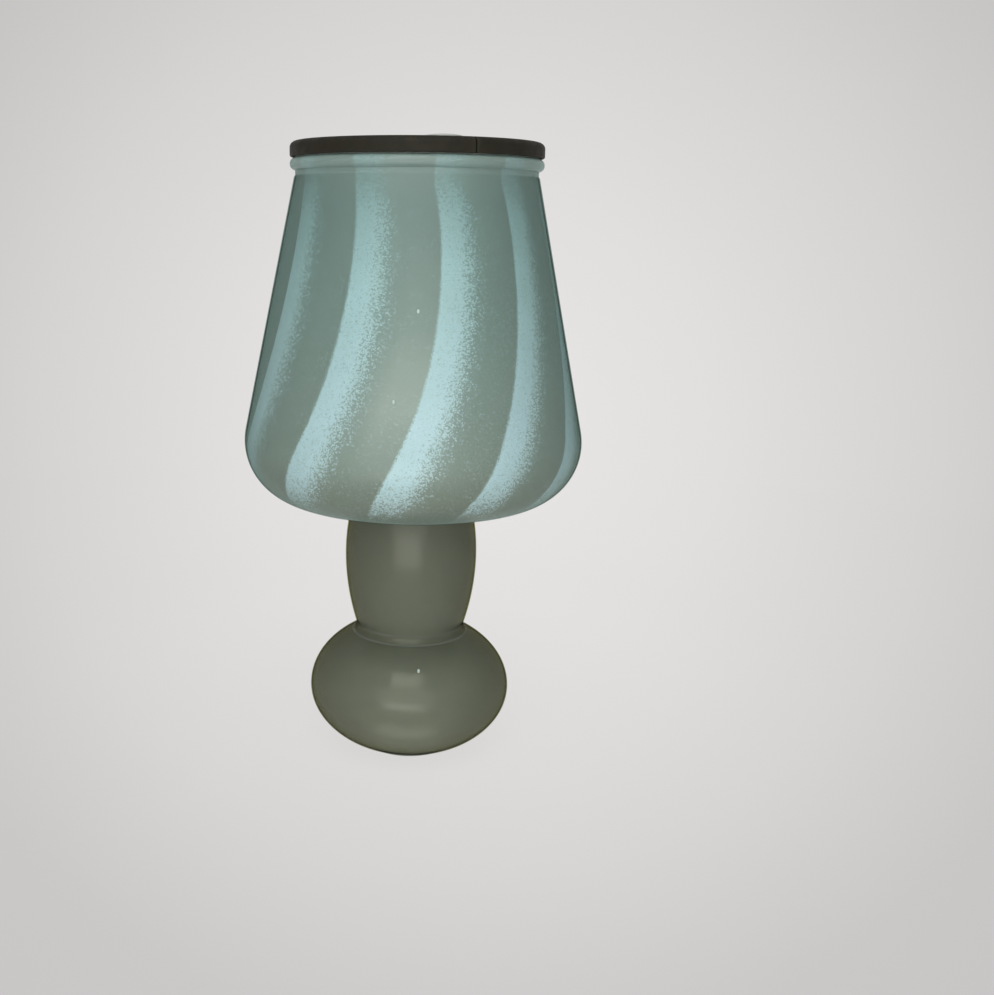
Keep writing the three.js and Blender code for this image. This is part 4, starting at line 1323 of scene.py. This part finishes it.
for number, tip_way in ((1, 1), (2, -1)):
    node_name = f"battery_{number}"
    low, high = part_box(node_name)
    foot = low.x if tip_way > 0 else -high.x
    tip = high.x if tip_way > 0 else -low.x
    top = tip - tip_length
    can_top = top_round(can_radius, top, can_top_edge, 6)
    line = [(0, foot), (can_radius - can_foot_edge, foot), (can_radius, foot + can_foot_edge)] + can_top
    line += [(tip_radius + 0.4 * mm, top), (tip_radius, top + tip_edge)]
    line += top_round(tip_radius, tip, tip_edge, 4) + [(0, tip)]
    can = laid(turned(f"cell_{number}_can", line, 64), node_name, tip_way)
    finished(can, 40, "lid", "tinned_contact", tinned_contact, node_name)
    line = [(fold, foot - sleeve_proud), (cell_radius - can_foot_edge, foot - sleeve_proud)]
    line += [(cell_radius, foot + can_foot_edge), (cell_radius, top - can_top_edge)]
    line += arc((cell_radius - can_top_edge, top - can_top_edge), (can_top_edge, can_top_edge + sleeve_proud),
                0, math.pi / 2, 6)[1:]
    line += [(fold, top + sleeve_proud), (fold, top)] + can_top[::-1]
    line += [(can_radius, foot + can_foot_edge), (can_radius - can_foot_edge, foot), (fold, foot)]
    sleeve = laid(turned(f"cell_{number}_sleeve", line, 64, closed=True), node_name, tip_way)
    finished(sleeve, 40, "lid", "cell_sleeve", cell_sleeve)

# %% [markdown]
# Contact plates. Stamped from sheet metal, with broken edges and two pressed grooves beside the
# place where a cell or a spring touches. Each starts as a box in the place of its plain node.

# %% Contact plates
groove_pitch = 3.6 * mm
groove_depth = 0.12 * mm
groove_half = 0.25 * mm
plate_edge = 0.12 * mm
for node_name in ("terminal_plus", "terminal_minus", "bridge_contact"):
    low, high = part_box(node_name)
    plate = block((low.x, high.x), (low.y, high.y), (low.z, high.z))
    modified(plate, "BEVEL", width=plate_edge, segments=2)
    rear_row = high.y - (high.y - low.y) / 4
    contact_y = rear_row if node_name == "bridge_contact" else (low.y + high.y) / 2
    face_x = low.x if low.x > 0 else high.x
    for side in (-1, 1):
        groove_y = contact_y + side * groove_pitch
        cut(plate, block((face_x - groove_depth, face_x + groove_depth),
                         (groove_y - groove_half, groove_y + groove_half), (low.z + mm, high.z - 2 * mm)))
    plate.name = node_name.replace("contact", "plate") + "_stamped"
    finished(plate, 35, "lid", "tinned_contact", tinned_contact, node_name)

# %% [markdown]
# Springs and leads are wire: a path with a round section, made into a mesh. A spring could be
# spun with a screw modifier, but a path worked out point by point can narrow as it climbs.

# %% Contact springs
def bent_wire(name, points, radius):
    """A round wire along points; its path is a smooth curve made into a closed mesh."""
    path = bpy.data.curves.new(name, "CURVE")
    path.dimensions = "3D"
    path.bevel_depth = radius
    path.bevel_resolution = 4
    path.use_fill_caps = True
    spline = path.splines.new("NURBS")
    spline.points.add(len(points) - 1)
    for point, place in zip(spline.points, points):
        point.co = (*place, 1)
    spline.order_u = 3
    spline.use_endpoint_u = True
    spline.resolution_u = 6
    holder = bpy.data.objects.new(name, path)
    bpy.context.scene.collection.objects.link(holder)
    only(holder)
    bpy.ops.object.convert(target="MESH")
    bpy.ops.object.mode_set(mode="EDIT")
    close_up()
    bpy.ops.object.mode_set(mode="OBJECT")
    return bpy.context.object


spring_wire = 0.25 * mm
spring_turns = 2.6
spring_steps = int(spring_turns * 16)
spring_foot = 3 * mm
spring_tip = 1.4 * mm
for number, way in ((1, 1), (2, -1)):
    low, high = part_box(f"contact_spring_{number}")
    cell_low, cell_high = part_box(f"battery_{number}")
    start_x = low.x + spring_wire if way > 0 else high.x - spring_wire
    length = high.x - low.x - 2 * spring_wire
    row_y = (cell_low.y + cell_high.y) / 2
    points = []
    for i in range(spring_steps + 1):
        share = i / spring_steps
        angle = math.tau * spring_turns * share
        radius = spring_foot + (spring_tip - spring_foot) * share
        along = start_x + way * length * share
        points.append((along, row_y + radius * math.cos(angle), cell_height + radius * math.sin(angle)))
    spring = bent_wire(f"cone_spring_{number}", points, spring_wire)
    finished(spring, 40, "lid", "tinned_contact", tinned_contact, f"contact_spring_{number}")

# %% [markdown]
# Leads. Each rises from its contact, runs forward over the bay's wall and drops to the board in
# an easy bend. Its points are laid one by one between the plain node's two ends.

# %% Leads
lead_radius = 0.5 * mm
for colour, material in (("red", red_sleeve), ("black", black_sleeve)):
    low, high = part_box(f"lead_{colour}")
    x = (low.x + high.x) / 2
    over = high.z - lead_radius - 0.1 * mm
    edge = board_high.y
    landing = board_high.z + lead_radius + fit_gap
    route = [(high.y - lead_radius, bay_top + fit_gap + lead_radius), (high.y - 2.6 * mm, over),
             (bay_front, over), (bay_front - 3 * mm, over), (edge - 3 * mm, over - 2 * mm),
             (edge - 3.4 * mm, landing + 2 * mm), (edge - 4.4 * mm, landing), (low.y + 0.05 * mm, landing)]
    lead = bent_wire(f"soft_lead_{colour}", [(x, y, z) for y, z in route], lead_radius)
    finished(lead, 40, "lid", f"{colour}_sleeve", material, f"lead_{colour}")

# %% [markdown]
# Light board. The flat board keeps the model's shape with softened edges; its green lacquer shows
# fine tracks as slightly lighter lines. A chip and a switch stand on top, and the switch's pin
# meets the push button's stem.

# %% Board
def board_finish():
    material, tree, shader = new_material("board_finish", {"Coat Weight": 0.5, "Coat Roughness": 0.12})
    black, white = (0, 0, 0, 1), (1, 1, 1, 1)
    tracks = node(tree, "TexBrick", {"Vector": place_in(tree), "Scale": 160, "Mortar Size": 0.03,
                                     "Color1": black, "Color2": black, "Mortar": white}).outputs["Color"]
    cloud = grain(tree, 0.3 * mm)[1]
    green = mixed(tree, cloud, srgb(34, 84, 56), srgb(28, 74, 49))
    green = mixed(tree, sums(tree, "MULTIPLY", tracks, 0.6), green, srgb(62, 118, 78))
    green = mixed(tree, rubbed(tree, 0.5), green, srgb(176, 160, 110))
    rough = spread(tree, cloud, 0, 1, 0.4, 0.5)
    feed(tree, shader, Base_Color=green, Roughness=rough, Normal=bumped(tree, tracks, 0.02 * mm))
    return material


def refined(name, source, edge):
    """A cleaned copy of a plain piece, with its sharp edges softened."""
    plain = next(item for item in bpy.data.objects if item.get("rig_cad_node") == source)
    twin = bpy.data.objects.new(name, plain.data.copy())
    twin.data.name = name
    bpy.context.scene.collection.objects.link(twin)
    twin.data.transform(plain.matrix_world)
    only(twin)
    bpy.ops.mesh.customdata_custom_splitnormals_clear()
    bpy.ops.object.mode_set(mode="EDIT")
    bpy.ops.mesh.select_mode(type="VERT")
    close_up()
    bpy.ops.mesh.dissolve_limited(angle_limit=math.radians(0.5))
    bpy.ops.object.mode_set(mode="OBJECT")
    modified(twin, "BEVEL", width=edge, segments=2, limit_method="ANGLE", angle_limit=math.radians(50))
    smooth(twin, 35)
    return twin


def middle_of(source):
    low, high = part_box(source)
    return (low.x + high.x) / 2, (low.y + high.y) / 2


board = refined("light_board", "circuit_board", 0.12 * mm)
dressed(board, "lid", "board", board_finish(), "circuit_board")

dimple_radius = 0.4 * mm
dimple_depth = 0.1 * mm
chip_low, chip_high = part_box("timer_chip")
chip = refined("timer_block", "timer_chip", 0.2 * mm)
dimple_at = (chip_low.x + mm, chip_low.y + mm)
cut(chip, drum(dimple_radius, chip_high.z - dimple_depth, chip_high.z + mm, dimple_at, 24))
dressed(chip, "lid", "black_component", black_component, "timer_chip")

rivet_radius = 0.45 * mm
rivet_inset = 0.9 * mm
rivet_depth = 0.2 * mm
switch_low, switch_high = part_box("switch_body")
switch = refined("switch_case", "switch_body", 0.25 * mm)
for x in (switch_low.x + rivet_inset, switch_high.x - rivet_inset):
    for y in (switch_low.y + rivet_inset, switch_high.y - rivet_inset):
        cut(switch, drum(rivet_radius, switch_high.z - rivet_depth, switch_high.z + mm, (x, y), 20))
finished(switch, 35, "lid", "black_component", black_component, "switch_body")

plunger_low, plunger_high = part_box("switch_plunger")
plunger_radius = (plunger_high.x - plunger_low.x) / 2
plunger_line = disc_line(plunger_radius, plunger_low.z, plunger_high.z, 0.2 * mm)
plunger = turned("switch_pin", plunger_line, 48, middle_of("switch_plunger"))
finished(plunger, 40, "push_button", "black_component", black_component, "switch_plunger")

# %% [markdown]
# Light windows. Each is a white block with a round well, filled by a yellow drop, and they are
# unlit. The drop is a piece of its own, because its gloss differs.

# %% Light windows
led_case = moulded_finish("led_case_finish", (226, 222, 206), (218, 214, 199), 0.2, (0.35, 0.45), dust=0.05)
led_drop = moulded_finish("led_drop_finish", (226, 204, 92), (214, 190, 78), 0.12, (0.2, 0.3), rub=0,
                          dust=0.02, Coat_Weight=0.6, Coat_Roughness=0.08)
well_radius = 1.1 * mm
well_depth = 0.25 * mm
drop_radius = well_radius - 0.05 * mm
drop_crown = 0.14 * mm
drop_edge = 0.16 * mm
for number in range(1, 6):
    source = f"led_{number}"
    low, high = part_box(source)
    case = block((low.x, high.x), (low.y, high.y), (low.z, high.z), 0.15 * mm)
    cut(case, drum(well_radius, low.z - mm, low.z + well_depth, middle_of(source), 32))
    case.name = f"light_{number}_case"
    finished(case, 35, "lid", "led", led_case, source)
    line = [(0, low.z + well_depth), (drop_radius, low.z + well_depth)]
    line += arc((0, low.z + drop_edge), (drop_radius, drop_crown), 0, -math.pi / 2, 6)
    drop = turned(f"light_{number}_drop", line, 32, middle_of(source))
    finished(drop, 50, "lid", "led", led_drop)

# %% [markdown]
# Lens. A shallow milky dome under the lights, with a flange that rests on the tray's floor. A
# solid disc would look the same from outside, but the wall of a real one is thin and even.

# %% Lens
lens_low, lens_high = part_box("light_lens")
dome_radius = 8.7 * mm
dome_height = tray_bottom - lens_low.z
lens_wall = 1.2 * mm
lens_edge = 0.2 * mm
bore = dome_radius - lens_wall
line = arc((0, tray_bottom), (dome_radius, dome_height), -math.pi / 2, 0, 20)
line += [(dome_radius, tray_floor), (lens_high.x - lens_edge, tray_floor)]
line += [(lens_high.x, tray_floor + lens_edge), (lens_high.x, lens_high.z)]
line += [(bore, lens_high.z), (bore, tray_bottom)]
line += arc((0, tray_bottom), (bore, dome_height - lens_wall), 0, -math.pi / 2, 20)[1:]
lens = turned("milky_dome", line, 96, lens_place)
finished(lens, 40, "lid", "lens", milky_lens, "light_lens")

# %% [markdown]
# Seeds. Blown glass holds a few tiny bubbles, and two on the shade and one on the foot catch the
# light. Each is a small ball half sunk in the surface, drawn out upwards as the glass was. They
# could be painted dots, but a dot shows no highlight; the balls have a gloss coat, and their pale
# colour is a painted highlight as well. Those on the back are guessed.

# %% Seeds in the glass
seed_radius = 0.6 * mm
seed_sunk = 0.3 * mm
seed_stretch = 1.6
shade_places = ((1.3, 207.6), (-6.3, 172.5), (97, 226), (151, 168), (-128, 196), (171, 238))
base_places = ((6.4, 48), (118, 39), (-149, 61))


def wall_radius(line, height):
    """Radius of an outline at a height, on its outer side."""
    spans = [(a, b) for a, b in zip(line, line[1:]) if min(a[1], b[1]) <= height <= max(a[1], b[1])]
    return max(a[0] + (b[0] - a[0]) * (height - a[1]) / (b[1] - a[1]) for a, b in spans if a[1] != b[1])


def seeds(name, line, places):
    """Small balls on a wall, at (azimuth in degrees from the front, height in mm)."""
    bpy.ops.object.select_all(action="DESELECT")
    balls = []
    for azimuth, height in places:
        spot = (*on_circle(wall_radius(line, height * mm) - seed_sunk, azimuth), height * mm)
        bpy.ops.mesh.primitive_uv_sphere_add(segments=16, ring_count=10, radius=seed_radius, location=spot)
        bpy.context.object.scale.z = seed_stretch
        balls.append(bpy.context.object)
    for ball in balls:
        ball.select_set(True)
    bpy.context.view_layer.objects.active = balls[0]
    bpy.ops.object.join()
    return settled(name)


# The seeds' pale colour is a painted highlight, added to the real one from their gloss coat.
seed_painted_glint = moulded_finish("seed_glass_finish", (190, 206, 198), (180, 198, 190), 0.2, (0.3, 0.4), rub=0,
                            dust=0, Coat_Weight=0.6, Coat_Roughness=0.2)
shade_seeds = seeds("shade_seeds", shade_line(0), shade_places)
finished(shade_seeds, 60, "lamp_glass", "striped_glass", seed_painted_glint)
foot_seeds = seeds("foot_seeds", base_line(0, pad_top), base_places)
finished(foot_seeds, 60, "lamp_glass", "plain_glass", seed_painted_glint)
